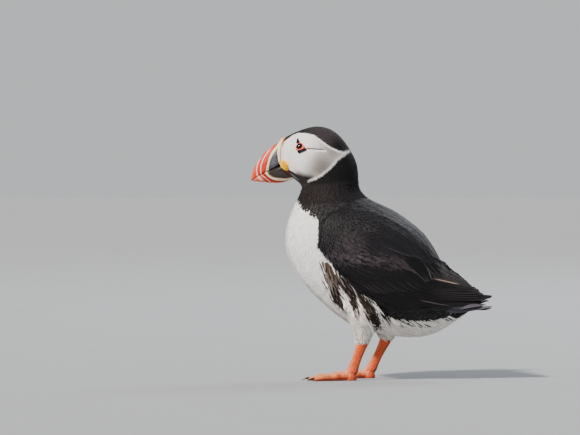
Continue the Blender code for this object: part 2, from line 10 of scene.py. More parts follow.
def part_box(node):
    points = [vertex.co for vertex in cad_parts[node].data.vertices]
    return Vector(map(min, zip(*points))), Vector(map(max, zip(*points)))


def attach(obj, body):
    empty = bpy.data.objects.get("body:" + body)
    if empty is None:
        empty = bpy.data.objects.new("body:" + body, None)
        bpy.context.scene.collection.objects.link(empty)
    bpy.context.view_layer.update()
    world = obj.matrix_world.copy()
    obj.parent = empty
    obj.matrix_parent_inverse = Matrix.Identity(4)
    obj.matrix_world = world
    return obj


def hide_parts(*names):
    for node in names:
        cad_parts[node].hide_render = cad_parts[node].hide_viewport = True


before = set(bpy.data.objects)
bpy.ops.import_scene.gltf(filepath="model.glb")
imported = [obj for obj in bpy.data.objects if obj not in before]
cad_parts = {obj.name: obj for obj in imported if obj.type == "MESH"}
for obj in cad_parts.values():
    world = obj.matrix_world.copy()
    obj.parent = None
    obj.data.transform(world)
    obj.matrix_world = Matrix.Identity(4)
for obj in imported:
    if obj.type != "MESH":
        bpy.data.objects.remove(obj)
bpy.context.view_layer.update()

# ---------------------------------------------------------------- the skin
# The skin of head, neck, trunk, wings, thighs and tail: one closed surface under the plumage. It is the
# flesh solids fused into one, softened, and sunk by the depth of the coat, so that the feathers' tips
# come out to the solids' own outline.
MM = 0.001
FLESH = ("head", "neck", "trunk", "mantle", "tail", "wing_left", "wing_right", "thigh_left", "thigh_right")
SKIN_VOXEL = 1.1 * MM
CLOSING = 0.28 * MM  # swelling that closes the thin cuts between the solids
COAT_DEPTH = (0.4 * MM, 1.0 * MM)  # on the head, and on the body


def in_scene(name, data):
    """A new object of the scene, at the origin, that holds a mesh, a lamp or a camera."""
    made = bpy.data.objects.new(name, data)
    bpy.context.scene.collection.objects.link(made)
    return made


def merged_copy(names, swell=0.0):
    """One bmesh of copies of solids, each with its points merged and swollen along its normals."""
    whole = bmesh.new()
    for name in names:
        part = bmesh.new()
        part.from_mesh(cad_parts[name].data)
        bmesh.ops.remove_doubles(part, verts=part.verts, dist=0.005 * MM)
        part.normal_update()
        shifts = [(v, v.normal * swell) for v in part.verts]
        for v, shift in shifts:
            v.co += shift
        held = bpy.data.meshes.new("held")
        part.to_mesh(held)
        part.free()
        whole.from_mesh(held)
        bpy.data.meshes.remove(held)
    return whole


def moulded(bm, voxel, rounds):
    """A closed, even mesh over a bmesh, softened a number of rounds."""
    mesh = bpy.data.meshes.new("mould")
    bm.to_mesh(mesh)
    bm.free()
    mould = in_scene("mould", mesh)
    closing = mould.modifiers.new("closing", "REMESH")
    closing.mode = "VOXEL"
    closing.voxel_size = voxel
    softening = mould.modifiers.new("softening", "SMOOTH")
    softening.factor = 0.5
    softening.iterations = rounds
    graph = bpy.context.evaluated_depsgraph_get()
    made = bpy.data.meshes.new_from_object(mould.evaluated_get(graph))
    bpy.data.objects.remove(mould)
    bpy.data.meshes.remove(mesh)
    return made


def points_of(mesh):
    found = np.empty(len(mesh.vertices) * 3)
    mesh.vertices.foreach_get("co", found)
    return found.reshape(-1, 3)


def normals_of(mesh):
    found = np.empty(len(mesh.vertices) * 3)
    mesh.vertex_normals.foreach_get("vector", found)
    return found.reshape(-1, 3)


def move_points(mesh, points):
    mesh.vertices.foreach_set("co", points.ravel())
    mesh.update()


def triangles_of(mesh, what="vertices"):
    mesh.calc_loop_triangles()
    found = np.empty(len(mesh.loop_triangles) * 3, np.int32)
    mesh.loop_triangles.foreach_get(what, found)
    return found.reshape(-1, 3)


def unit(v):
    return v / np.maximum(np.linalg.norm(v, axis=-1, keepdims=True), 1e-12)


def smooth_step(low, high, value):
    """0 below low and 1 above high, with a soft change between them."""
    t = np.clip((value - low) / (high - low), 0.0, 1.0)
    return t * t * (3.0 - 2.0 * t)


def to_line(spots, line):
    """Distance in mm from each spot (y, z) to a line of points, and the share of the way along it."""
    best, where = np.full(len(spots), 1e9), np.zeros(len(spots))
    line = np.asarray(line, float)[:, :2]
    for i, (a, b) in enumerate(zip(line, line[1:])):
        ab = b - a
        t = np.clip((spots - a) @ ab / (ab @ ab), 0, 1)
        away = np.linalg.norm(spots - a - t[:, None] * ab, axis=1)
        nearer = away < best
        best[nearer] = away[nearer]
        where[nearer] = (i + t[nearer]) / (len(line) - 1)
    return best, where


EYE_LINE = ((-56.0, 200.9), (-49.9, 200.4), (-45.6, 200.1), (-40.6, 200.0))  # the furrow behind the eye
FURROW_DEPTH, FURROW_HALF = 0.45, 0.8  # mm
THIN_SHARE = 0.28  # of a thin part's own thickness, the most that the skin sinks there
WING_TIP_HEIGHT = 71.2 * MM


def sink(mesh):
    """Moves a closed surface inwards by the coat's depth, or by less where the body is thin."""
    points, normals = points_of(mesh), normals_of(mesh)
    tree = BVHTree.FromPolygons(points.tolist(), triangles_of(mesh).tolist())
    through = np.empty(len(points))
    for i, (p, n) in enumerate(zip(points, normals)):
        inwards = Vector(-n)
        hit = tree.ray_cast(Vector(p) + inwards * 0.05 * MM, inwards)
        through[i] = hit[3] if hit[0] else 0.0
    on_head = smooth_step(165 * MM, 178 * MM, points[:, 2])
    depth = COAT_DEPTH[1] + (COAT_DEPTH[0] - COAT_DEPTH[1]) * on_head
    away, _ = to_line(points[:, 1:] / MM, EYE_LINE)
    furrow = FURROW_DEPTH * MM * np.exp(-((away / FURROW_HALF) ** 2)) * on_head
    points -= normals * (np.minimum(depth, THIN_SHARE * through) + furrow)[:, None]
    tip = smooth_step(86 * MM, 103 * MM, points[:, 1]) * (points[:, 2] > 66 * MM)  # the wing ends in a wedge
    points[:, 2] += (WING_TIP_HEIGHT - points[:, 2]) * 0.55 * tip
    move_points(mesh, points)
    bm = bmesh.new()
    bm.from_mesh(mesh)
    axes = {"use_axis_x": True, "use_axis_y": True, "use_axis_z": True}
    for _ in range(3):
        bmesh.ops.smooth_vert(bm, verts=bm.verts, factor=0.5, **axes)
    bm.to_mesh(mesh)
    bm.free()


skin_mesh = moulded(merged_copy(FLESH, CLOSING), SKIN_VOXEL, 8)
sink(skin_mesh)
skin_mesh.name = "skin"
skin_mesh.shade_smooth()
skin = in_scene("skin", skin_mesh)

skin_points = points_of(skin_mesh)
skin_faces = triangles_of(skin_mesh)
skin_tree = BVHTree.FromPolygons(skin_points.tolist(), skin_faces.tolist())
face_normal = unit(normals_of(skin_mesh)[skin_faces].mean(axis=1))
face_middle = skin_points[skin_faces].mean(axis=1)
edges = skin_points[skin_faces[:, 1:]] - skin_points[skin_faces[:, :1]]
face_area = np.linalg.norm(np.cross(edges[:, 0], edges[:, 1]), axis=1) / 2

# Which part of the body each face of the skin belongs to.
owner_points, owner_faces, owner_of = [], [], []
for number, name in enumerate(FLESH):
    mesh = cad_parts[name].data
    owner_faces.append(triangles_of(mesh) + sum(map(len, owner_points)))
    owner_points.append(points_of(mesh))
    owner_of += [number] * len(owner_faces[-1])
owner_tree = BVHTree.FromPolygons(np.concatenate(owner_points).tolist(), np.concatenate(owner_faces).tolist())
face_owner = np.array([owner_of[owner_tree.find_nearest(Vector(p))[2]] for p in face_middle])


def belongs(*names):
    """Marks the faces of the skin that belong to some of the flesh solids."""
    return np.isin(face_owner, [FLESH.index(n) for n in names])


# The pattern of the breeding dress, which skin and feathers share: a black cap, a pale grey face patch
# rimmed with white, a black collar, back and wings, white underparts, and loose dark streaks on the flanks.
# Borders are loops and lines of (y, z) in millimetres, the same on both sides of the bird. Some tones are
# painted light: a sheen on the cap and on the collar's front, and shade over the rear of the face patch.
def linear(code):
    """The linear colour of an sRGB hex code."""
    parts = np.array([int(code[i : i + 2], 16) for i in (1, 3, 5)]) / 255
    return np.where(parts <= 0.04045, parts / 12.92, ((parts + 0.055) / 1.055) ** 2.4)


FACE_LOOP = (
    (-78.0, 205.0), (-73.4, 208.9), (-68.7, 212.4), (-64.0, 214.4), (-57.1, 214.2), (-50.1, 212.6),
    (-46.0, 209.6), (-41.3, 206.1), (-35.5, 202.0), (-28.5, 198.9), (-23.8, 198.0), (-18.6, 199.6),
    (-18.9, 198.2), (-23.3, 195.4), (-29.1, 191.2), (-33.1, 186.7), (-38.4, 181.4), (-43.7, 177.3),
    (-49.5, 174.0), (-56.0, 171.7), (-53.0, 175.6), (-60.6, 176.9), (-66.4, 179.6), (-69.9, 181.6),
    (-73.0, 183.0), (-82.0, 186.0),
)
BLACK_LOOP = (
    (-70.0, 172.0), (-66.5, 157.6), (-63.9, 154.6), (-61.8, 151.5), (-56.1, 147.9), (-50.5, 143.6),
    (-46.4, 137.4), (-46.2, 129.0), (-47.6, 116.1), (-43.5, 111.6), (-38.1, 105.5), (-30.9, 95.7),
    (-24.0, 87.8), (-14.4, 79.2), (-2.2, 71.2), (5.7, 65.1), (10.7, 55.7), (20.2, 52.9), (32.2, 50.7),
    (44.1, 50.5), (56.0, 53.1), (68.0, 57.7), (78.7, 59.5), (92.0, 60.3), (115.0, 60.0), (115.0, 240.0),
    (-45.0, 240.0), (-45.0, 172.0),
)
# Dark streaks of the flank: (y, z, half width) along each.
STREAKS = (
    ((-41.0, 101.0, 2.6), (-36.0, 93.0, 5.4), (-33.0, 84.0, 6.2), (-30.5, 75.5, 5.6), (-26.6, 67.0, 3.8),
     (-22.2, 61.0, 0.8)),
    ((-22.0, 84.0, 4.0), (-17.5, 75.0, 3.8), (-15.0, 66.0, 2.6), (-13.4, 58.6, 0.8)),
    ((-12.0, 77.0, 2.6), (-5.6, 67.5, 4.6), (0.4, 57.5, 5.4), (5.4, 48.5, 3.6), (7.6, 42.0, 0.9)),
)
RIM_LINE = FACE_LOOP[:20]  # the patch has a white rim above and behind,
CHIN_LINE = FACE_LOOP[19:]  # and fades to black along the chin
JAW_STREAK = ((-70.3, 178.9), (-67.5, 176.8), (-63.8, 173.6))
WHITE, BELLY, WORN, RUMP_SIDE = (linear(code) for code in ("#F2F0EF", "#F0EBE4", "#4B4045", "#151215"))
FACE_FRONT, FACE_MIDDLE_GREY_SHADE, FACE_REAR_GREY_SHADE = (linear(code) for code in ("#F4F2F1", "#B4ACAA", "#716A66"))
CAP_GREY_SHEEN, CAP_FRONT, JET, COLLAR = (linear(code) for code in ("#352D32", "#231C1F", "#060507", "#1A1415"))
MANTLE, WING = (linear(code) for code in ("#131116", "#0A080A"))
FLANK, FLANK_FRONT, FLANK_PALE = (linear(code) for code in ("#231914", "#4E4036", "#A89B92"))
CHIN, JAW_GREY = linear("#2C2726"), linear("#8F9294")


def mixed(a, b, share):
    return a + (b - a) * np.asarray(share)[..., None]


def depth_in(spots, loop):
    """Distance in mm from each spot to a closed loop, positive inside it."""
    loop = np.asarray(loop, float)
    away, _ = to_line(spots, np.vstack([loop, loop[:1]]))
    inside = np.zeros(len(spots), bool)
    y, z = spots.T
    for (ay, az), (by, bz) in zip(loop, np.roll(loop, -1, axis=0)):
        crosses = (az > z) != (bz > z)
        inside ^= crosses & (y < (by - ay) * (z - az) / (bz - az + 1e-12) + ay)
    return np.where(inside, away, -away)


def near(spots, y, z, reach):
    """1 at (y, z), falling softly to 0 at a reach in mm."""
    return 1 - smooth_step(0, reach, np.hypot(spots[:, 0] - y, spots[:, 1] - z))


def in_streaks(spots):
    """How far inside a flank streak each spot is, in mm, with blotchy borders."""
    found = np.full(len(spots), -1e9)
    blotch = np.sin(1.3 * spots[:, 0] + 0.4 * spots[:, 1]) * np.sin(0.5 * spots[:, 1] - 0.8 * spots[:, 0])
    for streak in STREAKS:
        away, where = to_line(spots, streak)
        half = np.interp(where, np.linspace(0, 1, len(streak)), [s[2] for s in streak])
        found = np.maximum(found, half - away)
    return found + 1.5 * blotch


def marking(points, ragged=0.0):
    """Colour of the plumage at each point, in metres. ragged moves each point's borders, in mm."""
    spots = points[:, 1:] / MM
    y, z = spots.T
    across = np.abs(points[:, 0]) / MM
    # Black upperparts and white underparts.
    dark = mixed(MANTLE, COLLAR, smooth_step(140, 156, z) * (1 - smooth_step(-40, -20, y)))
    dark = mixed(dark, JET, near(spots, -16, 184, 34))
    # Painted sheen: the front of the collar lighter, where the light falls on it.
    dark = mixed(dark, COLLAR * 1.3, near(spots, -56, 160, 16))
    dark = mixed(dark, WING, smooth_step(0, 10, 112 - z + 0.25 * y) * (1 - smooth_step(50, 60, y)))
    dark = mixed(dark, RUMP_SIDE, near(spots, 38, 56, 26))
    light = mixed(WHITE, BELLY, smooth_step(0, 40, 90 - z))
    upper = smooth_step(-0.4, 0.4, depth_in(spots, BLACK_LOOP) + ragged)
    colour = mixed(light, dark, upper)
    streak = smooth_step(-0.8, 0.8, in_streaks(spots) + ragged) * smooth_step(12, 20, across)
    brown = mixed(FLANK_FRONT, FLANK, smooth_step(-40, -29, y + 0.5 * (80 - z)))
    brown = mixed(brown, FLANK_PALE, 0.8 * near(spots, -35, 84, 6))
    colour = mixed(colour, brown, streak * (1 - upper))
    # Head: cap, face patch, furrow and chin.
    # The cap: grey-brown, lightened in its middle by a painted sheen, darker to the front and black at its
    # rear corner.
    cap = mixed(CAP_GREY_SHEEN, CAP_FRONT, 1 - smooth_step(-72, -56, y))
    cap = mixed(cap, JET, near(spots, -27, 203, 15))
    hood = smooth_step(0, 6, z - 196 - 0.1 * y)
    head = mixed(JET, cap, hood)
    head = mixed(head, COLLAR, 1 - smooth_step(-58, -30, y + 0.2 * (z - 172)))
    inside = depth_in(spots, FACE_LOOP)
    # The face patch: white in front, greying behind and below, partly its own grey and partly painted shade.
    face = mixed(FACE_FRONT, FACE_MIDDLE_GREY_SHADE, smooth_step(-66, -44, y + 0.45 * (188 - z)))
    face = mixed(face, FACE_REAR_GREY_SHADE, 0.95 * near(spots, -42, 184, 17))
    face = mixed(face, FACE_REAR_GREY_SHADE, 0.6 * near(spots, -33, 199, 10))
    chin, _ = to_line(spots, CHIN_LINE)
    face = mixed(face, CHIN * 1.6, 0.92 * (1 - smooth_step(0.0, 5.0, chin)) * smooth_step(-70, -62, y))
    rim, _ = to_line(spots, RIM_LINE)
    face = mixed(face, WHITE, 1 - smooth_step(0.7, 1.9, rim))
    above, _ = to_line(spots, EYE_LINE + np.array((0.0, -1.2)))
    face = mixed(face, FACE_FRONT, 0.95 * (1 - smooth_step(0.5, 1.2, above)))
    under_bill = (1 - smooth_step(0, 3, z - 183.5 + 0.55 * (y + 74))) * (1 - smooth_step(-57, -52, y))
    head = mixed(head, CHIN, under_bill)
    jaw, _ = to_line(spots, JAW_STREAK)
    head = mixed(head, JAW_GREY, 0.6 * (1 - smooth_step(0.3, 0.8, jaw)))
    nape_gap = smooth_step(0.5, 3.0, across)  # the face patches do not meet behind the head
    head = mixed(head, face, smooth_step(-0.25, 0.25, inside + 0.5 * ragged) * nape_gap)
    away, along = to_line(spots, EYE_LINE)
    furrow = 1 - smooth_step(0.45 - 0.25 * along, 0.95 - 0.4 * along, away)
    furrow = furrow * (1 - smooth_step(0.75, 1.0, along))
    head = mixed(head, CAP_FRONT, 0.95 * furrow)
    on_head = smooth_step(-0.3, 0.3, z - 171.0 - 0.18 * (y + 40))
    return np.clip(mixed(colour, head, on_head), 0, 1)


def paint(mesh, colours):
    """Keeps a linear colour for each of a mesh's points."""
    kept = mesh.color_attributes.new("tint", "FLOAT_COLOR", "POINT")
    kept.data.foreach_set("color", np.hstack([colours, np.ones((len(colours), 1))]).ravel())
    mesh.color_attributes.active_color = kept


paint(skin_mesh, marking(skin_points) * 0.9)


def node(tree, kind, links=None, **settings):
    """Adds a node with its settings. links gives inputs a value, an output, or a node's first output."""
    added = tree.nodes.new("ShaderNode" + kind)
    for key, value in settings.items():
        setattr(added, key, value)
    for key, value in (links or {}).items():
        if isinstance(value, bpy.types.Node):
            value = value.outputs[0]
        if isinstance(value, bpy.types.NodeSocket):
            tree.links.new(value, added.inputs[key])
        else:
            added.inputs[key].default_value = value
    return added


def new_material(name):
    """An empty material and its node tree."""
    made = bpy.data.materials.new(name)
    made.use_nodes = True
    made.node_tree.nodes.clear()
    return made, made.node_tree


def grained(tree, colour, grain, shades, strength, depth):
    """A colour shaded by a grain, from one share of it to another, and the grain's relief, in mm."""
    shade = node(tree, "MapRange", {"Value": grain, "To Min": shades[0], "To Max": shades[1]})
    tone = node(tree, "VectorMath", {0: colour, "Scale": shade}, operation="SCALE")
    return tone, node(tree, "Bump", {"Height": grain, "Strength": strength, "Distance": depth * MM})


# Bird skin under feathers: thin, dry and matt, pricked with follicles about 1.2 mm apart.
skin_finish, tree = new_material("plumage skin")
where = node(tree, "TexCoord").outputs["Object"]
tint = node(tree, "Attribute", attribute_name="tint")
follicles = node(tree, "TexVoronoi", {"Vector": where, "Scale": 1 / (1.2 * MM)})
tone, relief = grained(tree, tint, follicles, (0.75, 1.05), 0.4, 0.2)
matt = node(
    tree, "BsdfPrincipled",
    {"Base Color": tone, "Roughness": 0.75, "Specular IOR Level": 0.2, "Normal": relief},
)
node(tree, "OutputMaterial", {"Surface": matt})
skin_mesh.materials.append(skin_finish)
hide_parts(*FLESH)
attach(skin, "root")


# ---------------------------------------------------------------- the bill
# Horn sheaths over the jaw bones: an upper and a lower half. Behind, each has a slate triangle, then a
# raised cream band, then red-orange horn crossed by two pale grooves, and a paler tip. The horn grows in
# layers, so it is finely lined along the bands and a little scuffed.
def closed_copy(name, nodes, voxel, rounds, swell=0.0):
    """A softened, even mesh of CAD nodes, as a new object that replaces them."""
    mesh = moulded(merged_copy(nodes, swell), voxel, rounds)
    mesh.name = name
    mesh.shade_smooth()
    made = in_scene(name, mesh)
    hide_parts(*nodes)
    return made


def reshape(obj, moves):
    """Moves each point of an object's mesh along its normal, by distances in mm."""
    move_points(obj.data, points_of(obj.data) + normals_of(obj.data) * (moves * MM)[:, None])


def keep_value(mesh, name, values):
    kept = mesh.attributes.new(name, "FLOAT", "POINT")
    kept.data.foreach_set("value", values)


def beyond(spots, line):
    """Signed distance in mm from a line of points (y, z): positive on the bill tip's side of it."""
    line = np.asarray(line, float)
    ends = np.vstack([2 * line[0] - line[1], line, 2 * line[-1] - line[-2]])
    best, found = np.full(len(spots), 1e9), np.zeros(len(spots))
    for a, b in zip(ends, ends[1:]):
        ab = b - a
        t = np.clip((spots - a) @ ab / (ab @ ab), 0, 1)
        off = spots - a - t[:, None] * ab
        away = np.linalg.norm(off, axis=1)
        nearer = away < best - 1e-6
        best[nearer] = away[nearer]
        turn = np.sign(ab[1] * off[:, 0] - ab[0] * off[:, 1])
        found[nearer] = (away * turn)[nearer]
    return found


def banding(spots, lines):
    """How many of the lines, base to tip, each spot is beyond, with the share of the way to the next."""
    away = np.stack([beyond(spots, line) for line in lines])
    found = np.zeros(len(spots))
    for number in range(len(lines) - 1):
        here, ahead = away[number], away[number + 1]
        inside = (here >= 0) & (ahead < 0)
        found[inside] = number + (here / np.maximum(here - ahead, 1e-6))[inside]
    found[away[-1] >= 0] = len(lines) - 1
    return found


UPPER_BANDS = (
    ((-79.2, 207.4), (-80.3, 202.5), (-82.1, 197.0), (-82.3, 193.6), (-81.7, 190.6), (-80.4, 187.8),
     (-79.0, 185.0)),
    ((-79.6, 206.2), (-80.8, 202.8), (-83.3, 198.6), (-85.5, 195.8), (-87.5, 192.2), (-88.6, 188.6),
     (-89.3, 185.9), (-89.6, 181.0)),
    ((-80.4, 207.0), (-81.7, 204.6), (-84.1, 201.7), (-86.9, 198.1), (-88.9, 194.2), (-90.0, 190.6),
     (-90.9, 187.2), (-91.8, 183.6), (-92.4, 180.0)),
    ((-88.3, 200.4), (-90.8, 197.2), (-93.0, 194.2), (-94.7, 190.9), (-95.9, 187.2), (-96.5, 183.6),
     (-96.4, 180.3), (-95.8, 177.8)),
    ((-96.2, 193.4), (-98.0, 190.0), (-99.2, 187.0), (-100.0, 183.1), (-99.8, 180.3), (-98.9, 177.6)),
    ((-101.6, 189.0), (-103.4, 184.0), (-104.8, 178.0), (-105.2, 172.0)),
)
LOWER_BANDS = (
    ((-79.2, 187.4), (-76.8, 185.0), (-73.4, 181.3), (-69.6, 177.8), (-66.0, 174.4)),
    ((-91.8, 182.2), (-90.8, 180.3), (-89.2, 178.0), (-86.4, 176.1), (-82.5, 175.2), (-78.3, 175.0),
     (-74.2, 175.0), (-69.6, 176.0)),
    ((-93.4, 180.9), (-92.7, 179.5), (-90.8, 177.1), (-88.0, 174.8), (-85.3, 173.6), (-81.1, 172.9),
     (-76.9, 172.7), (-72.8, 173.2), (-68.0, 174.0)),
    ((-96.2, 179.4), (-95.0, 177.5), (-93.0, 175.9), (-90.8, 174.2), (-88.0, 172.2), (-84.0, 170.2)),
    ((-98.9, 178.2), (-97.7, 176.7), (-95.5, 174.2), (-93.4, 172.4), (-91.0, 170.4)),
    ((-104.4, 174.4), (-103.8, 171.6), (-102.0, 169.0)),
)
BANDS, GROWTH_LINES = 5.0, 9  # bands of horn, and growth lines in each
# Horn colours by band: place from 0 at the base to 5 at the tip, and colour there.
UPPER_TONES = (
    (0.00, "#24232B"), (0.16, "#4A4953"), (0.60, "#5B5A65"), (0.93, "#42424C"), (1.04, "#BFA283"),
    (1.18, "#F3E0BC"), (1.80, "#F6E5C6"), (1.96, "#C8683A"), (2.06, "#7A1C06"), (2.22, "#CC2400"),
    (2.60, "#DE2600"), (2.84, "#941000"), (2.93, "#F2D6C8"), (3.07, "#F6E4DA"), (3.16, "#BE1A00"),
    (3.60, "#DA2600"), (3.83, "#BE2202"), (3.92, "#EFC6B6"), (4.06, "#F0CCBC"), (4.20, "#D63608"),
    (4.60, "#D44A1C"), (5.00, "#D97048"),
)
LOWER_TONES = (
    (0.00, "#B03A12"), (0.10, "#8E2206"), (0.17, "#241C1B"), (0.55, "#37302E"), (0.93, "#2A2322"),
    (1.05, "#B59A7E"), (1.25, "#F1DDB8"), (1.80, "#F5E2C0"), (1.98, "#B83C10"), (2.12, "#6C0E00"),
    (2.50, "#C02000"), (2.84, "#8E1400"), (2.93, "#F0D2C4"), (3.07, "#F2DCD0"), (3.18, "#AE1800"),
    (3.60, "#CC2804"), (3.90, "#E8B4A2"), (4.10, "#E9BCAA"), (4.35, "#D96A42"), (5.00, "#DC8C6A"),
)
CULMEN = "#CC2E00"
MOUTH = (
    (-104.1, 173.7), (-101.9, 175.6), (-98.0, 177.5), (-94.4, 178.5), (-91.9, 180.6), (-88.0, 182.5),
    (-83.9, 184.2), (-80.4, 186.6),
)
# The gape's seam is painted dark, as shade where the two halves close.
MOUTH_SHADE = "#1E0F0C"


def filled(ramp, stops):
    """Gives a colour ramp its stops, each a place from 0 to 1 and a hex colour."""
    while len(ramp.color_ramp.elements) < len(stops):
        ramp.color_ramp.elements.new(0.5)
    for element, (place, code) in zip(ramp.color_ramp.elements, stops):
        element.position = place
        element.color = (*linear(code), 1)


def horn_finish(name, tones):
    """Keratin horn grown in layers: a satin gloss, fine growth lines along its bands, and dull scuffs."""
    made, tree = new_material(name)
    band = node(tree, "Attribute", attribute_name="band").outputs["Fac"]
    keel = node(tree, "Attribute", attribute_name="keel").outputs["Fac"]
    where = node(tree, "TexCoord").outputs["Object"]
    waver = node(tree, "TexNoise", {"Vector": where, "Scale": 1 / (2.5 * MM), "Detail": 4.0})
    shift = node(tree, "MapRange", {"Value": waver, "To Min": -0.05, "To Max": 0.05})
    placed = node(tree, "Math", {0: band, 1: shift}, operation="ADD")
    share = node(tree, "Math", {0: placed, 1: BANDS}, operation="DIVIDE")
    ramp = node(tree, "ValToRGB", {"Fac": share})
    filled(ramp, [(place / BANDS, code) for place, code in tones])
    ridge = node(tree, "Mix", {0: keel, 6: ramp, 7: (*linear(CULMEN), 1)}, data_type="RGBA")
    # Painted shade along the closed gape, where the two halves meet.
    mouth = node(tree, "Attribute", attribute_name="mouth").outputs["Fac"]
    seam_shaded = node(tree, "Mix", {0: mouth, 6: ridge.outputs[2], 7: (*linear(MOUTH_SHADE), 1)}, data_type="RGBA")
    scuffs = node(tree, "TexNoise", {"Vector": where, "Scale": 1 / (0.9 * MM), "Detail": 5.0})
    shade = node(tree, "MapRange", {"Value": scuffs, "To Min": 0.78, "To Max": 1.18})
    tone = node(tree, "VectorMath", {0: seam_shaded.outputs[2], "Scale": shade}, operation="SCALE")
    lines = node(tree, "Math", {0: placed, 1: 2 * math.pi * GROWTH_LINES}, operation="MULTIPLY")
    growth = node(tree, "Math", {0: lines}, operation="SINE")
    relief = node(tree, "Math", {0: growth, 1: 0.35, 2: scuffs}, operation="MULTIPLY_ADD")
    bump = node(tree, "Bump", {"Height": relief, "Strength": 0.35, "Distance": 0.08 * MM})
    gloss = node(tree, "MapRange", {"Value": scuffs, "To Min": 0.42, "To Max": 0.6})
    dull = node(tree, "Math", {0: mouth, 1: 0.35, 2: gloss}, operation="MULTIPLY_ADD")
    horn = node(
        tree, "BsdfPrincipled",
        {"Base Color": tone, "Roughness": dull, "Specular IOR Level": 0.35, "Normal": bump},
    )
    node(tree, "OutputMaterial", {"Surface": horn})
    return made


LIP = 0.42  # mm that the edges of each half swell to meet the other's


def bill_half(name, lines, tones, crest_side):
    """One half of the bill with its bands raised and its grooves sunk."""
    half = closed_copy(name + "_horn", [name], 0.28 * MM, 6, 0.16 * MM)
    spots = points_of(half.data)[:, 1:] / MM
    band = banding(spots, lines)
    grooves = sum(np.exp(-(((band - g) / 0.10) ** 2)) for g in (3.0, 4.0))
    step = smooth_step(0.95, 1.1, band) * (1 - smooth_step(1.9, 2.05, band))
    to_mouth, _ = to_line(spots, MOUTH)
    facing = smooth_step(0.2, 0.7, -crest_side * normals_of(half.data)[:, 2])
    facing = facing * smooth_step(2.2, 1.4, to_mouth)
    reshape(half, 0.16 * step - 0.26 * grooves * (1 - facing) + LIP * facing)
    normals = normals_of(half.data)
    crest = smooth_step(0.45, 0.85, crest_side * normals[:, 2]) * smooth_step(2.0, 2.3, band)
    keep_value(half.data, "band", band)
    keep_value(half.data, "keel", crest * 0.9)
    width = 0.45 + (1.0 if crest_side > 0 else 2.2) * (1 - smooth_step(0.6, 1.1, band))
    fading = 1 - 0.4 * smooth_step(3.5, 5.0, band)
    # How much painted shade each place takes from the gape's seam.
    keep_value(half.data, "mouth", (1 - smooth_step(0.5, 1.0, to_mouth / width)) * fading)
    half.data.materials.append(horn_finish(name.replace("_", " ") + " horn", tones))
    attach(half, "root")


bill_half("bill_upper", UPPER_BANDS, UPPER_TONES, 1)
bill_half("bill_lower", LOWER_BANDS, LOWER_TONES, -1)

# The raised ridge of soft cream horn round the upper bill's base: dull, pitted, with a tan line behind.
RIDGE_REAR = (
    (-75.2, 211.0), (-76.4, 208.0), (-77.5, 204.5), (-78.5, 199.7), (-78.7, 194.2), (-78.2, 190.0),
    (-77.0, 186.0),
)
ridge = closed_copy("bill_ridge_horn", ["bill_ridge"], 0.25 * MM, 5, 0.22 * MM)
points = points_of(ridge.data)
z = points[:, 2] / MM
reach = 0.8 + 2.0 * smooth_step(185, 189, z) * smooth_step(205, 199, z)
points[:, 1] += reach * MM * smooth_step(0.2, 0.9, normals_of(ridge.data)[:, 1])
move_points(ridge.data, points)
paint(ridge.data, mixed(linear("#F4E4C2"), linear("#ECD48C"), smooth_step(204, 208, z)))
keep_value(ridge.data, "behind", -beyond(points[:, 1:] / MM, RIDGE_REAR))
keep_value(ridge.data, "by_face", smooth_step(206, 203, z))  # below this it meets the white face
ridge_finish, tree = new_material("soft cream horn")
where = node(tree, "TexCoord").outputs["Object"]
tint = node(tree, "Attribute", attribute_name="tint")
behind = node(tree, "Attribute", attribute_name="behind").outputs["Fac"]
by_face = node(tree, "Attribute", attribute_name="by_face").outputs["Fac"]
tan = node(tree, "MapRange", {"Value": behind, "From Min": -1.0, "From Max": -0.6})
white = node(tree, "MapRange", {"Value": behind, "From Min": -0.2, "From Max": 0.1})
facing = node(tree, "Math", {0: white, 1: by_face}, operation="MULTIPLY")
line = node(tree, "Mix", {0: tan, 6: tint, 7: (*linear("#C27632"), 1)}, data_type="RGBA")
edge = node(tree, "Mix", {0: facing, 6: line.outputs[2], 7: (*FACE_FRONT, 1)}, data_type="RGBA")
pits = node(tree, "TexVoronoi", {"Vector": where, "Scale": 1 / (0.9 * MM)})
depth = node(tree, "MapRange", {"Value": pits, "From Max": 0.35})
tone, bump = grained(tree, edge.outputs[2], depth, (0.8, 1.0), 0.5, 0.1)
horn = node(
    tree, "BsdfPrincipled", {"Base Color": tone, "Roughness": 0.55, "Specular IOR Level": 0.3, "Normal": bump}
)
node(tree, "OutputMaterial", {"Surface": horn})
ridge.data.materials.append(ridge_finish)
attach(ridge, "root")

# ---------------------------------------------------------------- the rosettes
# Folded bare skin at each corner of the mouth, which lets the gape open: bright yellow, puckered in folds
# along its length, with orange-red in the furrows.
FOLD = 1.45  # mm from fold to fold
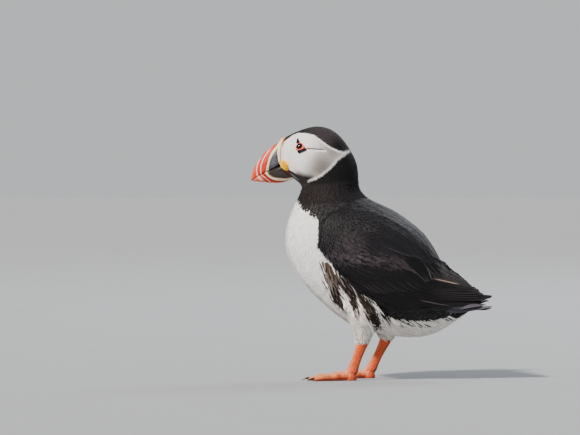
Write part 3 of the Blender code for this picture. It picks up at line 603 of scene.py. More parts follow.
# Soft bare skin, finely wrinkled, with the low gloss of thin wax.
rosette_finish, tree = new_material("wrinkled gape skin")
where = node(tree, "TexCoord").outputs["Object"]
tint = node(tree, "Attribute", attribute_name="tint")
grain = node(tree, "TexNoise", {"Vector": where, "Scale": 1 / (0.6 * MM), "Detail": 4.0})
tone, bump = grained(tree, tint, grain, (0.85, 1.12), 0.5, 0.12)
flesh = node(
    tree, "BsdfPrincipled", {"Base Color": tone, "Roughness": 0.45, "Specular IOR Level": 0.2, "Normal": bump}
)
node(tree, "OutputMaterial", {"Surface": flesh})
for word in ("left", "right"):
    name = f"gape_rosette_{word}"
    rosette = closed_copy(f"gape_skin_{word}", [name], 0.22 * MM, 4, 0.8 * MM)
    points = points_of(rosette.data)
    low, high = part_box(name)
    middle = np.array((low + high) / 2)
    y, z = ((points - middle)[:, 1:] / MM).T
    across, along = 0.81 * y + 0.59 * z, 0.59 * y - 0.81 * z
    phase = across / FOLD + 0.22 * np.sin(along * 1.3) + 0.25
    fold = np.cos(2 * math.pi * phase) * smooth_step(5.0, 3.4, np.abs(along))
    fold = fold + 0.35 * np.cos(along * 3.1 + 2 * across)
    rim = smooth_step(1.6, 2.6, np.abs(across))
    fold = fold * (1 - 0.6 * rim) + 0.6 * rim
    reshape(rosette, 0.34 * fold)
    gold = mixed(linear("#B84A02"), linear("#FFBE00"), smooth_step(-0.9, -0.2, fold))
    paint(rosette.data, mixed(gold, linear("#FFDC00"), smooth_step(0.2, 0.9, fold)))
    rosette.data.materials.append(rosette_finish)
    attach(rosette, "root")

# ---------------------------------------------------------------- the eyes
# Wet eyeballs: black pupil, brown-black iris, under a clear cornea. Each sits in a ring of bare
# red-orange skin with a pointed rear corner, and has a small horn plate above and a long one below.
PUPIL, IRIS = math.radians(17), math.radians(39)
RED_RIM = (
    (7.7, -2.4), (5.2, -0.8), (3.6, 0.7), (2.5, 2.5), (0.5, 3.5), (-1.8, 3.1), (-3.3, 1.3),
    (-3.6, -0.8), (-3.0, -2.7), (-1.4, -4.1), (0.6, -4.4), (3.0, -3.8), (5.6, -3.2),
)
LID_OUTLINE = (
    (8.6, -2.5), (5.9, -0.2), (4.9, 1.2), (3.7, 3.3), (0.9, 4.6), (-2.6, 4.1), (-4.4, 1.9),
    (-4.7, -0.9), (-4.0, -3.3), (-2.0, -4.8), (0.6, -5.0), (3.2, -4.4), (6.0, -3.9),
)
LID_INNER = 2.75  # mm from the eye's middle to the opening between the lids
RED_RINGS = 4  # of the lid's six rings of faces, the inner ones in bare red skin
HEAD_RADIUS = 19 * MM
# A wet cornea: clear and smooth as glass, it gives one small hard highlight over the dark iris.
eye_finish, tree = new_material("wet eye under a clear cornea")
gaze = node(tree, "UVMap", uv_map="gaze")
split = node(tree, "SeparateXYZ", {0: gaze})
rings = node(tree, "ValToRGB", {"Fac": split.outputs["Y"]})
ring_tones = (
    (PUPIL, "#040405"), (PUPIL + 0.05, "#1B110C"), (IRIS, "#120B08"), (IRIS + 0.06, "#040303"),
    (IRIS + 0.4, "#120D0C"),
)
filled(rings, [(place / math.pi, code) for place, code in ring_tones])
rays = node(tree, "TexNoise", {"Vector": gaze, "Scale": 30.0})
shade = node(tree, "MapRange", {"Value": rays, "To Min": 0.7, "To Max": 1.3})
tone = node(tree, "VectorMath", {0: rings, "Scale": shade}, operation="SCALE")
ball_shader = node(tree, "BsdfPrincipled", {"Base Color": tone, "Roughness": 0.06, "IOR": 1.34})
node(tree, "OutputMaterial", {"Surface": ball_shader})

# Small horn plates: finely pitted keratin, so dark and dull that they hardly shine.
plate_finish, tree = new_material("slate horn plate")
where = node(tree, "TexCoord").outputs["Object"]
tint = node(tree, "Attribute", attribute_name="tint")
grain = node(tree, "TexNoise", {"Vector": where, "Scale": 1 / (0.5 * MM), "Detail": 4.0})
tone, bump = grained(tree, tint, grain, (0.7, 1.25), 0.4, 0.08)
horn = node(
    tree, "BsdfPrincipled", {"Base Color": tone, "Roughness": 0.5, "Specular IOR Level": 0.06, "Normal": bump}
)
node(tree, "OutputMaterial", {"Surface": horn})

# Bare eyelid skin: beads 0.45 mm across, that speckle the red and break up its gloss.
lid_finish, tree = new_material("bare red eyelid skin")
where = node(tree, "TexCoord").outputs["Object"]
grain = node(tree, "TexVoronoi", {"Vector": where, "Scale": 1 / (0.45 * MM)})
tones = node(tree, "ValToRGB", {"Fac": grain})
filled(tones, ((0.0, "#F03C08"), (1.0, "#B42004")))
bump = node(tree, "Bump", {"Height": grain, "Strength": 0.5, "Distance": 0.1 * MM})
flesh = node(tree, "BsdfPrincipled", {"Base Color": tones, "Roughness": 0.4, "Normal": bump})
node(tree, "OutputMaterial", {"Surface": flesh})
skin_mesh.materials.append(lid_finish)


def eye_frame(word):
    """The eye's middle, its radius, and the head's outward, rearward and upward ways there."""
    low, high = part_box(f"eye_{word}")
    middle, radius = np.array((low + high) / 2), (high.z - low.z) / 2
    side = math.copysign(1, middle[0])
    ring = []
    for dy, dz in ((6, 1), (0, 7), (-6, 1), (0, -7)):
        start = Vector((side * 0.1, middle[1] + dy * MM, middle[2] + dz * MM))
        ring.append(np.array(skin_tree.ray_cast(start, Vector((-side, 0, 0)))[0]))
    outward = unit(np.cross(ring[0] - ring[2], ring[1] - ring[3]))
    outward *= math.copysign(1, outward[0] * side)
    rear = unit(np.array((0, 1, 0)) - outward * outward[1])
    return middle, radius, outward, rear, np.array((0, 0, 1)) - outward * outward[2]


def smooth_loop(points, steps):
    """A closed loop of points, with steps more along a smooth curve between each two."""
    found = []
    loop = np.asarray(points, float)
    for i in range(len(loop)):
        a, b, c, d = (loop[(i + k) % len(loop)] for k in (-1, 0, 1, 2))
        for k in range(steps):
            t = k / steps
            bend, twist = 2 * a - 5 * b + 4 * c - d, 3 * b - a - 3 * c + d
            found.append(0.5 * (2 * b + (c - a) * t + bend * t**2 + twist * t**3))
    return np.array(found)


eye_places = {word: eye_frame(word) for word in ("left", "right")}
lid_bm = bmesh.new()
lid_bm.from_mesh(skin_mesh)
for word in ("left", "right"):
    middle, radius, outward, rear, upward = eye_places[word]
    # The ball, its pole looking out.
    mesh = bpy.data.meshes.new(f"eyeball_{word}")
    bm = bmesh.new()
    bmesh.ops.create_uvsphere(bm, u_segments=48, v_segments=36, radius=radius * 0.985)
    gaze_map = bm.loops.layers.uv.new("gaze")
    for face in bm.faces:
        for loop in face.loops:
            x, y, z = loop.vert.co.normalized()
            loop[gaze_map].uv = (math.atan2(y, x) / math.tau + 0.5, math.acos(max(-1, min(1, z))) / math.pi)
    turn = Vector((0, 0, 1)).rotation_difference(Vector(outward)).to_matrix()
    bmesh.ops.rotate(bm, verts=bm.verts, cent=(0, 0, 0), matrix=turn)
    bmesh.ops.translate(bm, verts=bm.verts, vec=middle)
    bm.to_mesh(mesh)
    bm.free()
    mesh.shade_smooth()
    mesh.materials.append(eye_finish)
    ball = in_scene(f"eyeball_{word}", mesh)
    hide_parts(f"eye_{word}")
    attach(ball, "root")
    # The lids: rings of points from inside the socket, over the red rim's crest, to under the feathers.
    rim, outline = smooth_loop(RED_RIM, 4), smooth_loop(LID_OUTLINE, 4)
    inner = rim / np.linalg.norm(rim, axis=1)[:, None] * LID_INNER
    level = radius - 1.1 * MM  # the head's surface, out from the ball's middle
    rise = math.sqrt(radius**2 - (LID_INNER * MM) ** 2) - level
    tint_layer = lid_bm.verts.layers.float_color["tint"]
    loops = []
    for share, height in (
        (-0.10, rise - 0.5 * MM), (0.0, rise + 0.16 * MM), (0.15, rise + 0.36 * MM), (0.6, 0.36 * MM),
        (0.95, 0.16 * MM), (1.3, 0.0), (2.0, -0.6 * MM),
    ):
        flat = inner + (rim - inner) * min(share, 1) + (outline - rim) * max(share - 1, 0)
        bow = 0.5 * ((flat * MM) ** 2).sum(axis=1) / HEAD_RADIUS  # the head curves away from the eye
        spots = middle + (level + height - bow)[:, None] * outward
        spots = spots + flat[:, :1] * MM * rear + flat[:, 1:] * MM * upward
        loops.append([lid_bm.verts.new(p) for p in spots])
        for vert in loops[-1]:
            vert[tint_layer] = (*FACE_FRONT, 1)
    for number, (low, high) in enumerate(zip(loops, loops[1:])):
        for i in range(len(low)):
            j = (i + 1) % len(low)
            face = lid_bm.faces.new((low[i], low[j], high[j], high[i]))
            face.material_index = 1 if number < RED_RINGS else 0
            face.smooth = True
            if word == "left":
                face.normal_flip()
    # The plates: blue-grey, nearly black round their edges.
    for place in ("upper", "lower"):
        name = f"eye_plate_{place}_{word}"
        plate = closed_copy(f"eye_horn_{place}_{word}", [name], 0.13 * MM, 3, 0.24 * MM)
        points = points_of(plate.data)
        if place == "upper":
            points += 0.5 * MM * (rear - upward)
            move_points(plate.data, points)
        low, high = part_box(name)
        flat = points - np.array((low + high) / 2)
        spots = np.stack([flat @ rear, flat @ upward], 1)
        spots -= spots.mean(axis=0)
        spread, ways = np.linalg.eigh(np.cov(spots.T))
        off = np.abs(spots @ ways) / np.sqrt(spread)
        rim = smooth_step(0.1, 0.8, np.maximum(off[:, 0], off[:, 1] * 0.85))
        paint(plate.data, mixed(linear("#22303A" if place == "lower" else "#020303"), linear("#000000"), rim))
        plate.data.materials.append(plate_finish)
        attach(plate, "root")
lid_bm.to_mesh(skin_mesh)
lid_bm.free()

# An unwrap of the skin's own shape, lids and all: every feather takes its place on it from its root's.
bpy.context.view_layer.objects.active = skin
skin.select_set(True)
bpy.ops.object.mode_set(mode="EDIT")
bpy.ops.mesh.select_all(action="SELECT")
bpy.ops.uv.smart_project(angle_limit=math.radians(66), island_margin=0.002)
bpy.ops.object.mode_set(mode="OBJECT")
skin_mesh.uv_layers[0].name = "OFBake"
unwrap = np.empty(len(skin_mesh.loops) * 2)
skin_mesh.uv_layers["OFBake"].data.foreach_get("uv", unwrap)
face_unwrap = unwrap.reshape(-1, 2)[triangles_of(skin_mesh, "loops")[: len(skin_faces)]].mean(axis=1)

# ---------------------------------------------------------------- legs and feet
# Bare legs and webbed feet in orange skin: small netted scales on the leg, broad ones across the top of
# each toe, and thin wrinkled webs. Each toe ends in a curved black claw.
# Leg skin: leathery scales 1.25 mm across, each its own shade, with dark seams and a moist low gloss.
leg_finish, tree = new_material("scaled orange leg skin")
where = node(tree, "TexCoord").outputs["Object"]
tint = node(tree, "Attribute", attribute_name="tint")
stretched = node(tree, "Mapping", {"Vector": where, "Scale": (1.0, 1.0, 0.75)})
scales = node(tree, "TexVoronoi", {"Vector": stretched, "Scale": 1 / (1.25 * MM)}, feature="DISTANCE_TO_EDGE")
seam = node(tree, "MapRange", {"Value": scales, "From Max": 0.16})
cells = node(tree, "TexVoronoi", {"Vector": stretched, "Scale": 1 / (1.25 * MM)})
own = node(tree, "SeparateColor", {0: cells.outputs["Color"]})
vary = node(tree, "MapRange", {"Value": own, "To Min": 0.86, "To Max": 1.12})
darker = node(tree, "MapRange", {"Value": seam, "To Min": 0.62, "To Max": 1.0})
both = node(tree, "Math", {0: vary, 1: darker}, operation="MULTIPLY")
tone = node(tree, "VectorMath", {0: tint, "Scale": both}, operation="SCALE")
bump = node(tree, "Bump", {"Height": seam, "Strength": 0.6, "Distance": 0.14 * MM})
leather = node(
    tree, "BsdfPrincipled",
    {"Base Color": tone, "Roughness": 0.42, "Subsurface Weight": 0.08, "Subsurface Scale": 1.0 * MM,
     "Normal": bump},
)
node(tree, "OutputMaterial", {"Surface": leather})

# Web skin: thin and stretched, creased along the toes, with a moist low gloss.
web_finish, tree = new_material("wrinkled orange web skin")
where = node(tree, "TexCoord").outputs["Object"]
tint = node(tree, "Attribute", attribute_name="tint")
stretched = node(tree, "Mapping", {"Vector": where, "Scale": (1.0, 0.28, 1.0)})
creases = node(tree, "TexNoise", {"Vector": stretched, "Scale": 1 / (1.1 * MM), "Detail": 5.0})
tone, bump = grained(tree, tint, creases, (0.72, 1.2), 0.6, 0.25)
leather = node(
    tree, "BsdfPrincipled",
    {"Base Color": tone, "Roughness": 0.38, "Subsurface Weight": 0.1, "Subsurface Scale": 1.0 * MM,
     "Normal": bump},
)
node(tree, "OutputMaterial", {"Surface": leather})

# Claw horn: solid keratin worn smooth, black with faint brown streaks, and a soft gloss.
claw_finish, tree = new_material("black claw horn")
where = node(tree, "TexCoord").outputs["Object"]
grain = node(tree, "TexNoise", {"Vector": where, "Scale": 1 / (0.7 * MM), "Detail": 4.0})
tones = node(tree, "ValToRGB", {"Fac": grain})
filled(tones, ((0.0, "#0D0B0B"), (1.0, "#3A312C")))
bump = node(tree, "Bump", {"Height": grain, "Strength": 0.3, "Distance": 0.08 * MM})
horn = node(tree, "BsdfPrincipled", {"Base Color": tones, "Roughness": 0.33, "IOR": 1.55, "Normal": bump})
node(tree, "OutputMaterial", {"Surface": horn})

# The leg's own orange, the colour of its painted highlight, and the colour of its painted shade.
LEG_ORANGE, LEG_HIGHLIGHT, LEG_SHADE = linear("#DB5312"), linear("#F09A62"), linear("#8E2806")
TOES = ("outer", "middle", "inner")
SCUTE = 1.9  # mm from one toe scale to the next
INTO_THIGH = 4.0 * MM  # how far the leg runs on under the thigh's feathers
for word in ("left", "right"):
    names = [f"leg_{word}", f"foot_{word}"]
    leg_low, leg_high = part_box(names[0])
    bare = merged_copy(names, 0.2 * MM)
    for v in bare.verts:
        v.co.z += INTO_THIGH * float(smooth_step(leg_high.z - 3 * MM, leg_high.z - 1 * MM, v.co.z))
    mesh = moulded(bare, 0.36 * MM, 5)
    mesh.name = f"bare_leg_{word}"
    mesh.shade_smooth()
    leg = in_scene(mesh.name, mesh)
    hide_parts(*names)
    points, normals = points_of(mesh), normals_of(mesh)
    joint = np.array(((leg_low.x + leg_high.x) / 2, leg_low.y + 5.0 * MM, 0))
    nearest, along_toe = np.full(len(points), 1e9), np.zeros(len(points))
    for toe in TOES:
        low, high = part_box(f"claw_{toe}_{word}")
        line = np.array(((low.x + high.x) / 2, (low.y + high.y) / 2, 0)) - joint
        length = np.linalg.norm(line)
        flat = (points - joint)[:, :2]
        along = flat @ line[:2] / length
        away = np.abs(flat[:, 0] * line[1] - flat[:, 1] * line[0]) / length
        away = np.where(along < 0, 1e9, away)
        closer = away < nearest
        nearest[closer], along_toe[closer] = away[closer], along[closer]
    low_down = 1 - smooth_step(6.5 * MM, 10.0 * MM, points[:, 2])
    toe_top = (1 - smooth_step(1.8 * MM, 3.0 * MM, nearest)) * smooth_step(-0.1, 0.4, normals[:, 2])
    toe_top = toe_top * low_down
    webbing = smooth_step(2.2 * MM, 3.2 * MM, nearest) * low_down * smooth_step(5 * MM, 9 * MM, along_toe)
    scutes = np.abs(np.sin(math.pi * along_toe / MM / SCUTE)) ** 0.5
    folds = np.sin(nearest / MM * 4.2 + 0.5 * np.sin(along_toe / MM * 0.9))
    reshape(leg, 0.34 * (scutes - 0.7) * toe_top + 0.14 * folds * webbing)
    places = points_of(mesh)
    places[:, 2] = np.maximum(places[:, 2], 0.0)  # the soles lie flat on the floor
    move_points(mesh, places)
    # Orange, with painted light: a painted highlight on the toes' tops and down the leg's front, painted
    # shade in deep red-brown behind, underneath, in the seams between the toe scales and in the folds of the
    # webs.
    lit_front = smooth_step(-0.2, -0.9, normals[:, 1])
    tone = mixed(LEG_ORANGE, LEG_HIGHLIGHT, 0.45 * lit_front)
    tone = mixed(tone, LEG_HIGHLIGHT, 0.5 * smooth_step(0.2, 0.8, normals[:, 2]) * low_down)
    tone = mixed(tone, LEG_SHADE, 0.65 * smooth_step(0.2, 0.9, normals[:, 1]))
    tone = mixed(tone, LEG_HIGHLIGHT, 0.75 * toe_top * scutes)
    tone = mixed(tone, LEG_SHADE, 0.6 * toe_top * (1 - smooth_step(0.0, 0.55, scutes)))
    tone = mixed(tone, linear("#C43E08"), 0.6 * webbing)
    tone = mixed(tone, LEG_SHADE, 0.3 * webbing * smooth_step(0.0, -1.0, folds))
    tone = mixed(tone, LEG_SHADE * 0.6, smooth_step(0.2, -0.6, normals[:, 2]) * low_down)
    paint(mesh, tone)
    mesh.materials.append(leg_finish)
    mesh.materials.append(web_finish)
    corners = triangles_of(mesh)
    face_web = np.zeros(len(mesh.polygons))
    owner = np.empty(len(mesh.loop_triangles), np.int32)
    mesh.loop_triangles.foreach_get("polygon_index", owner)
    face_web[owner] = webbing[corners].mean(axis=1)
    mesh.polygons.foreach_set("material_index", (face_web > 0.5).astype(np.int32))
    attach(leg, "root")

    for toe in TOES:
        name = f"claw_{toe}_{word}"
        claw = closed_copy(f"claw_horn_{toe}_{word}", [name], 0.16 * MM, 3, 0.05 * MM)
        claw.data.materials.append(claw_finish)
        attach(claw, "root")

# ---------------------------------------------------------------- head feathers
# The velvet of the head: contour feathers of keratin, whose barbs hook into a flat vane, matt where white
# and with a faint sheen where black. They are the smallest of the bird, 2 to 3 mm long and pressed close,
# so dense that the face looks like suede, and they stop at the bare parts.
# How all feathers lie: from the bill back over the head, down the neck and breast, and back along the
# body, wings and tail. Each row is a place (y, z) in mm and the way the feathers point there.
LIE = (
    (-72, 195, 1.0, 0.1), (-45, 218, 1.0, -0.1), (-15, 190, 0.25, -1.0), (-45, 190, 0.9, -0.45),
    (-62, 172, 0.5, -0.9), (-60, 158, 0.1, -1.0), (-35, 160, 0.35, -1.0), (-68, 135, 0.15, -1.0),
    (-72, 110, 0.3, -1.0), (-45, 75, 0.8, -0.75), (-10, 48, 1.0, -0.15), (40, 38, 1.0, 0.1),
    (75, 52, 1.0, 0.45), (0, 150, 0.85, -0.55), (30, 135, 0.75, -0.7), (60, 100, 0.75, -0.7),
    (0, 110, 0.9, -0.45), (60, 75, 1.0, -0.3), (-20, 80, 0.8, -0.6), (-10, 45, 0.0, -1.0),
)


def across_lie(ways, normals):
    """Ways laid flat on the surface whose normals are given."""
    return unit(ways - normals * (ways * normals).sum(axis=-1, keepdims=True))


def lie_at(points, normals):
    """The way the feathers point at each place on the skin."""
    table = np.array(LIE, float)
    away = np.linalg.norm(points[:, None, 1:] / MM - table[None, :, :2], axis=2)
    weight = 1 / (away + 3.0) ** 3.5
    ways = weight @ unit(table[:, 2:]) / weight.sum(axis=1, keepdims=True)
    ways = np.hstack([np.zeros((len(points), 1)), unit(ways)])
    return across_lie(ways, normals)


def turned(ways, normals, angles):
    """Ways turned by angles about the normals."""
    return ways * np.cos(angles)[:, None] + np.cross(normals, ways) * np.sin(angles)[:, None]


NEIGHBOURS = [(i, j, k) for i in (-1, 0, 1) for j in (-1, 0, 1) for k in (-1, 0, 1)]
chance = np.random.default_rng(41)


def scattered(where, spacing):
    """Roots spread about evenly over the marked faces of the skin: their points and their faces."""
    area = np.where(where, face_area, 0)
    tries = int(3.5 * area.sum() / spacing**2)
    faces = chance.choice(len(area), tries, p=area / area.sum())
    a, b = chance.random((2, tries, 1))
    a, b = np.where(a + b > 1, 1 - a, a), np.where(a + b > 1, 1 - b, b)
    corner = skin_points[skin_faces[faces]]
    spots = corner[:, 0] + a * (corner[:, 1] - corner[:, 0]) + b * (corner[:, 2] - corner[:, 0])
    taken, kept = {}, []
    least = spacing**2
    cells = np.floor(spots / spacing).astype(int).tolist()
    for number, ((i, j, k), spot) in enumerate(zip(cells, spots.tolist())):
        for di, dj, dk in NEIGHBOURS:
            other = taken.get((i + di, j + dj, k + dk))
            if other and sum((p - q) ** 2 for p, q in zip(other, spot)) < least:
                break
        else:
            taken[i, j, k] = spot
            kept.append(number)
    return spots[kept], faces[kept]


def snapped(points):
    """The skin's nearest place to each point, its normal there, and its distance."""
    found = [skin_tree.find_nearest(Vector(p)) for p in points]
    places = np.array([f[0] for f in found])
    return places, face_normal[[f[2] for f in found]], np.array([f[3] for f in found])


def spines(roots, faces, ways, lengths, rows, loose=0.0):
    """Lines that follow the skin from their roots: points, normals and ways, each (number, rows, 3).

    loose is how far from the skin, in metres, a line may leave it where the skin ends or turns away.
    """
    step = (lengths / (rows - 1))[:, None]
    at, normal = roots, face_normal[faces]
    way = across_lie(ways, normal)
    line, up, along = [at], [normal], [way]
    for _ in range(rows - 1):
        ahead = at + way * step
        place, facing, away = snapped(ahead)
        free = (away > loose)[:, None] & (loose > 0)
        at = np.where(free, ahead, place)
        normal = unit(np.where(free, normal, normal + 1.5 * facing))
        way = across_lie(way, normal)
        line.append(at)
        up.append(normal)
        along.append(way)
    return np.stack(line, 1), np.stack(up, 1), np.stack(along, 1)


def lines_over(starts, ends, rows, ray, bow, steep):
    """Lines over the skin from starts to ends as seen along a ray, which bow upwards by some metres.

    steep is the slope at which they leave the skin and run on straight. Returns points, normals and ways,
    each (number, rows, 3), and the face of the skin at each root.
    """
    ray = np.array(ray, float)
    line, up, roots = [], [], []
    for a, b in zip(starts, ends):
        deepest = steep * np.linalg.norm(b - a) / (rows - 1)
        depths, flat, facings, first = [], [], [], None
        for share in np.linspace(0, 1, rows):
            at = a + (b - a) * share + np.array((0, 0, bow * math.sin(math.pi * share)))
            at = at - ray * (at @ ray + 0.2)
            place, _, face, depth = skin_tree.ray_cast(Vector(at), Vector(ray))
            if place is None:
                depth = depths[-1] if depths else 0.2
            elif depths:
                depth = min(depth, depths[-1] + deepest)
            facings.append(face_normal[face] * (1, 0.3, 1) if place else -ray)
            first = face if first is None else first
            depths.append(depth)
            flat.append(at)
        depths, facings = np.array(depths), np.array(facings)
        for _ in range(2):
            depths[1:-1] = (depths[:-2] + 2 * depths[1:-1] + depths[2:]) / 4
            facings[1:-1] = (facings[:-2] + 2 * facings[1:-1] + facings[2:]) / 4
        line.append(np.array(flat) + ray * depths[:, None])
        up.append(unit(facings - 0.4 * ray))
        roots.append(first if first is not None else skin_tree.find_nearest(Vector(a))[2])
    line = np.array(line)
    way = unit(np.gradient(line, axis=1))
    up = across_lie(np.array(up), way)
    return line, up, way, np.array(roots)


def vane_template(rows, columns):
    """Faces of one closed vane over a grid of rows along it and columns across it: top, underside, ends."""
    bm = bmesh.new()
    bmesh.ops.create_grid(bm, x_segments=columns - 1, y_segments=rows - 1, size=0.5)
    order = sorted(bm.verts, key=lambda v: (round(v.co.y, 4), round(v.co.x, 4)))
    for number, v in enumerate(order):
        v.index = number
    faces = [[v.index for v in f.verts] for f in bm.faces]
    bm.free()
    last = columns - 1
    for r in range(rows - 1):
        low, high = r * columns, (r + 1) * columns
        faces.append([low + last, low, high, high + last])
    faces.append(list(range(columns)))
    faces.append([(rows - 1) * columns + c for c in reversed(range(columns))])
    return faces


MOST_TRIANGLES = 190_000
PATCH = 0.003  # side of the square that each feather takes on the skin's unwrap


def plumes(name, roots, faces, ways, lengths, halves, rise, outline, columns, colours, finish,
           camber, ragged=0.0, loose=0.0, spine=None):
    """Feathers over the skin as closed cambered vanes, in pieces of less than 200,000 triangles.

    outline is each row's share of the half width; rise is the height above the skin at root and tip;
    colours gives a colour for each root and vane place; ragged staggers the end; spine is the lines to
    follow, where they don't simply follow the lie.
    """
    rows = len(outline)
    along = np.linspace(0, 1, rows)
    aside = np.linspace(-1, 1, columns)
    template = vane_template(rows, columns)
    triangles = sum(len(f) - 2 for f in template)
    size = MOST_TRIANGLES // triangles
    low, high = (np.broadcast_to(level, len(roots)) for level in rise)
    parts = max(1, math.ceil(len(roots) / size))
    for part in range(parts):
        pick = slice(part * len(roots) // parts, (part + 1) * len(roots) // parts)
        count = len(roots[pick])
        if spine:
            line, up, way = (whole[pick] for whole in spine)
        else:
            line, up, way = spines(roots[pick], faces[pick], ways[pick], lengths[pick], rows, loose)
        side = unit(np.cross(way, up))
        height = low[pick][:, None] + (high - low)[pick][:, None] * along**1.3
        half = halves[pick][:, None] * np.asarray(outline)
        arch = camber * half[:, :, None] * (1 - aside**2)
        uneven = ragged * chance.uniform(-1, 1, (count, columns)) * lengths[pick][:, None]
        shift = uneven[:, None, :] * (along**4)[None, :, None]
        places = (
            line[:, :, None]
            + side[:, :, None] * (half[:, :, None] * aside)[..., None]
            + up[:, :, None] * (height[:, :, None] + arch)[..., None]
            + way[:, :, None] * shift[..., None]
        )
        mesh = bpy.data.meshes.new(name)
        corners = np.concatenate([np.array(f, np.int64) for f in template])
        starts = np.cumsum([0] + [len(f) for f in template[:-1]])
        stride = rows * columns
        loops = (corners[None] + np.arange(count)[:, None] * stride).ravel()
        mesh.vertices.add(count * stride)
        mesh.vertices.foreach_set("co", places.ravel())
        mesh.loops.add(len(loops))
        mesh.loops.foreach_set("vertex_index", loops.astype(np.int32))
        mesh.polygons.add(count * len(template))
        begins = (starts[None] + np.arange(count)[:, None] * len(corners)).ravel()
        mesh.polygons.foreach_set("loop_start", begins.astype(np.int32))
        mesh.update(calc_edges=True)
        mesh.shade_smooth()
        # The edges all round are crisp, so that the top shades as a flat vane.
        ends = np.empty(len(mesh.edges) * 2, np.int32)
        mesh.edges.foreach_get("vertices", ends)
        column, row = ends.reshape(-1, 2) % columns, ends.reshape(-1, 2) // columns % rows
        rim = (column[:, 0] == column[:, 1]) & np.isin(column[:, 0], (0, columns - 1))
        rim |= (row[:, 0] == row[:, 1]) & np.isin(row[:, 0], (0, rows - 1))
        crisp = mesh.attributes.new("sharp_edge", "BOOLEAN", "EDGE")
        crisp.data.foreach_set("value", rim)
        # OFBake: a small patch at the root's place on the skin's unwrap. vane: mm across and along it.
        patch = face_unwrap[faces[pick]][:, None, None]
        place = np.stack(np.broadcast_arrays(aside[None, :] * PATCH / 2, (along[:, None] - 0.5) * PATCH), -1)
        spots = np.broadcast_to(patch + place[None], (count, rows, columns, 2)).reshape(-1, 2)
        mesh.uv_layers.new(name="OFBake").data.foreach_set("uv", spots[loops].ravel())
        wide = half[:, :, None] * aside / MM
        far = np.broadcast_to((lengths[pick][:, None] * along / MM)[:, :, None], wide.shape)
        spots = np.stack([wide, far], -1).reshape(-1, 2)
        mesh.uv_layers.new(name="vane").data.foreach_set("uv", spots[loops].ravel())
        tone = colours(pick, along[None, :, None, None], aside[None, None, :, None])
        paint(mesh, np.clip(np.broadcast_to(tone, (count, rows, columns, 3)), 0, 1).reshape(-1, 3))
        mesh.materials.append(finish)
        piece = in_scene(name if parts == 1 else f"{name}_{part + 1}", mesh)
        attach(piece, "root")


def varied(count, spread):
    """A random factor about 1 for each of a number of feathers."""
    return 1 + spread * chance.uniform(-1, 1, count)


# The barbs run out from the shaft at a slant; they are 0.3 mm apart, drawn at 0.5 mm to show.
BARB = 0.5


def feather_finish(name, roughness, barb_depth, sheen):
    """A vane's material: its colour from the tint, its barbs from the vane map."""
    made, tree = new_material(name)
    tint = node(tree, "Attribute", attribute_name="tint")
    vane = node(tree, "UVMap", uv_map="vane")
    split = node(tree, "SeparateXYZ", {0: vane})
    wide = node(tree, "Math", {0: split.outputs["X"]}, operation="ABSOLUTE")
    slant = node(tree, "Math", {0: wide, 1: -1.1, 2: split.outputs["Y"]}, operation="MULTIPLY_ADD")
    phase = node(tree, "Math", {0: slant, 1: 2 * math.pi / BARB}, operation="MULTIPLY")
    wave = node(tree, "Math", {0: phase}, operation="SINE")
    shaft = node(tree, "MapRange", {"Value": wide, "From Max": 0.22, "To Min": 1.0, "To Max": 0.0})
    relief = node(tree, "Math", {0: shaft, 1: 2.0, 2: wave}, operation="MULTIPLY_ADD")
    bump = node(tree, "Bump", {"Height": relief, "Strength": barb_depth, "Distance": 0.05 * MM})
    where = node(tree, "TexCoord").outputs["Object"]
    worn = node(tree, "TexNoise", {"Vector": where, "Scale": 1 / (5 * MM), "Detail": 3.0})
    shade = node(tree, "MapRange", {"Value": worn, "To Min": 0.8, "To Max": 1.2})
    barbs = node(tree, "MapRange", {"Value": wave, "From Min": -1.0, "To Min": 0.88, "To Max": 1.06})
    both = node(tree, "Math", {0: shade, 1: barbs}, operation="MULTIPLY")
    tone = node(tree, "VectorMath", {0: tint, "Scale": both}, operation="SCALE")
    keratin = node(
        tree, "BsdfPrincipled",
        {"Base Color": tone, "Roughness": roughness, "Specular IOR Level": 0.2, "Sheen Weight": sheen,
         "Sheen Roughness": 0.4, "Normal": bump},
    )
    node(tree, "OutputMaterial", {"Surface": keratin})
    return made


down = feather_finish("velvet head feathers", 0.75, 0.25, 0.06)
body_feathers = feather_finish("white body feathers", 0.7, 0.3, 0.05)
cloak_feathers = feather_finish("black cloak feathers", 0.5, 0.5, 0.03)


def rooted(where, spacing, wander):
    """Roots over the marked faces, with their faces and the way each feather lies, a little unruly."""
    roots, faces = scattered(where, spacing)
    ways = lie_at(roots, face_normal[faces])
    return roots, faces, turned(ways, face_normal[faces], chance.normal(0, wander, len(roots)))


def own_tones(points, wander, spread):
    """Each feather's tone: the marking at a point of it, with unruly borders and a shade of its own."""
    tones = marking(points, chance.normal(0, wander, len(points)))
    return tones * varied(len(points), spread)[:, None]


def rim_of_wear_and_sheen(along, aside):
    """Nearness of each vane place to its end and edges, 0 inside and 1 at the rim: wear on coverts, painted
    sheen on the cloak.
    """
    end = smooth_step(0.66, 0.98, along * (0.75 + 0.25 * aside**2))
    return np.maximum(end, 0.6 * smooth_step(0.55, 1.0, np.abs(aside)) * smooth_step(0.35, 0.85, along))


hard_parts = ["bill_upper", "bill_lower", "bill_ridge"]
for word in ("left", "right"):
    hard_parts += [f"gape_rosette_{word}", f"eye_plate_upper_{word}", f"eye_plate_lower_{word}"]
hard = merged_copy(hard_parts, 0.15 * MM)
hard_tree = BVHTree.FromBMesh(hard)
hard.free()


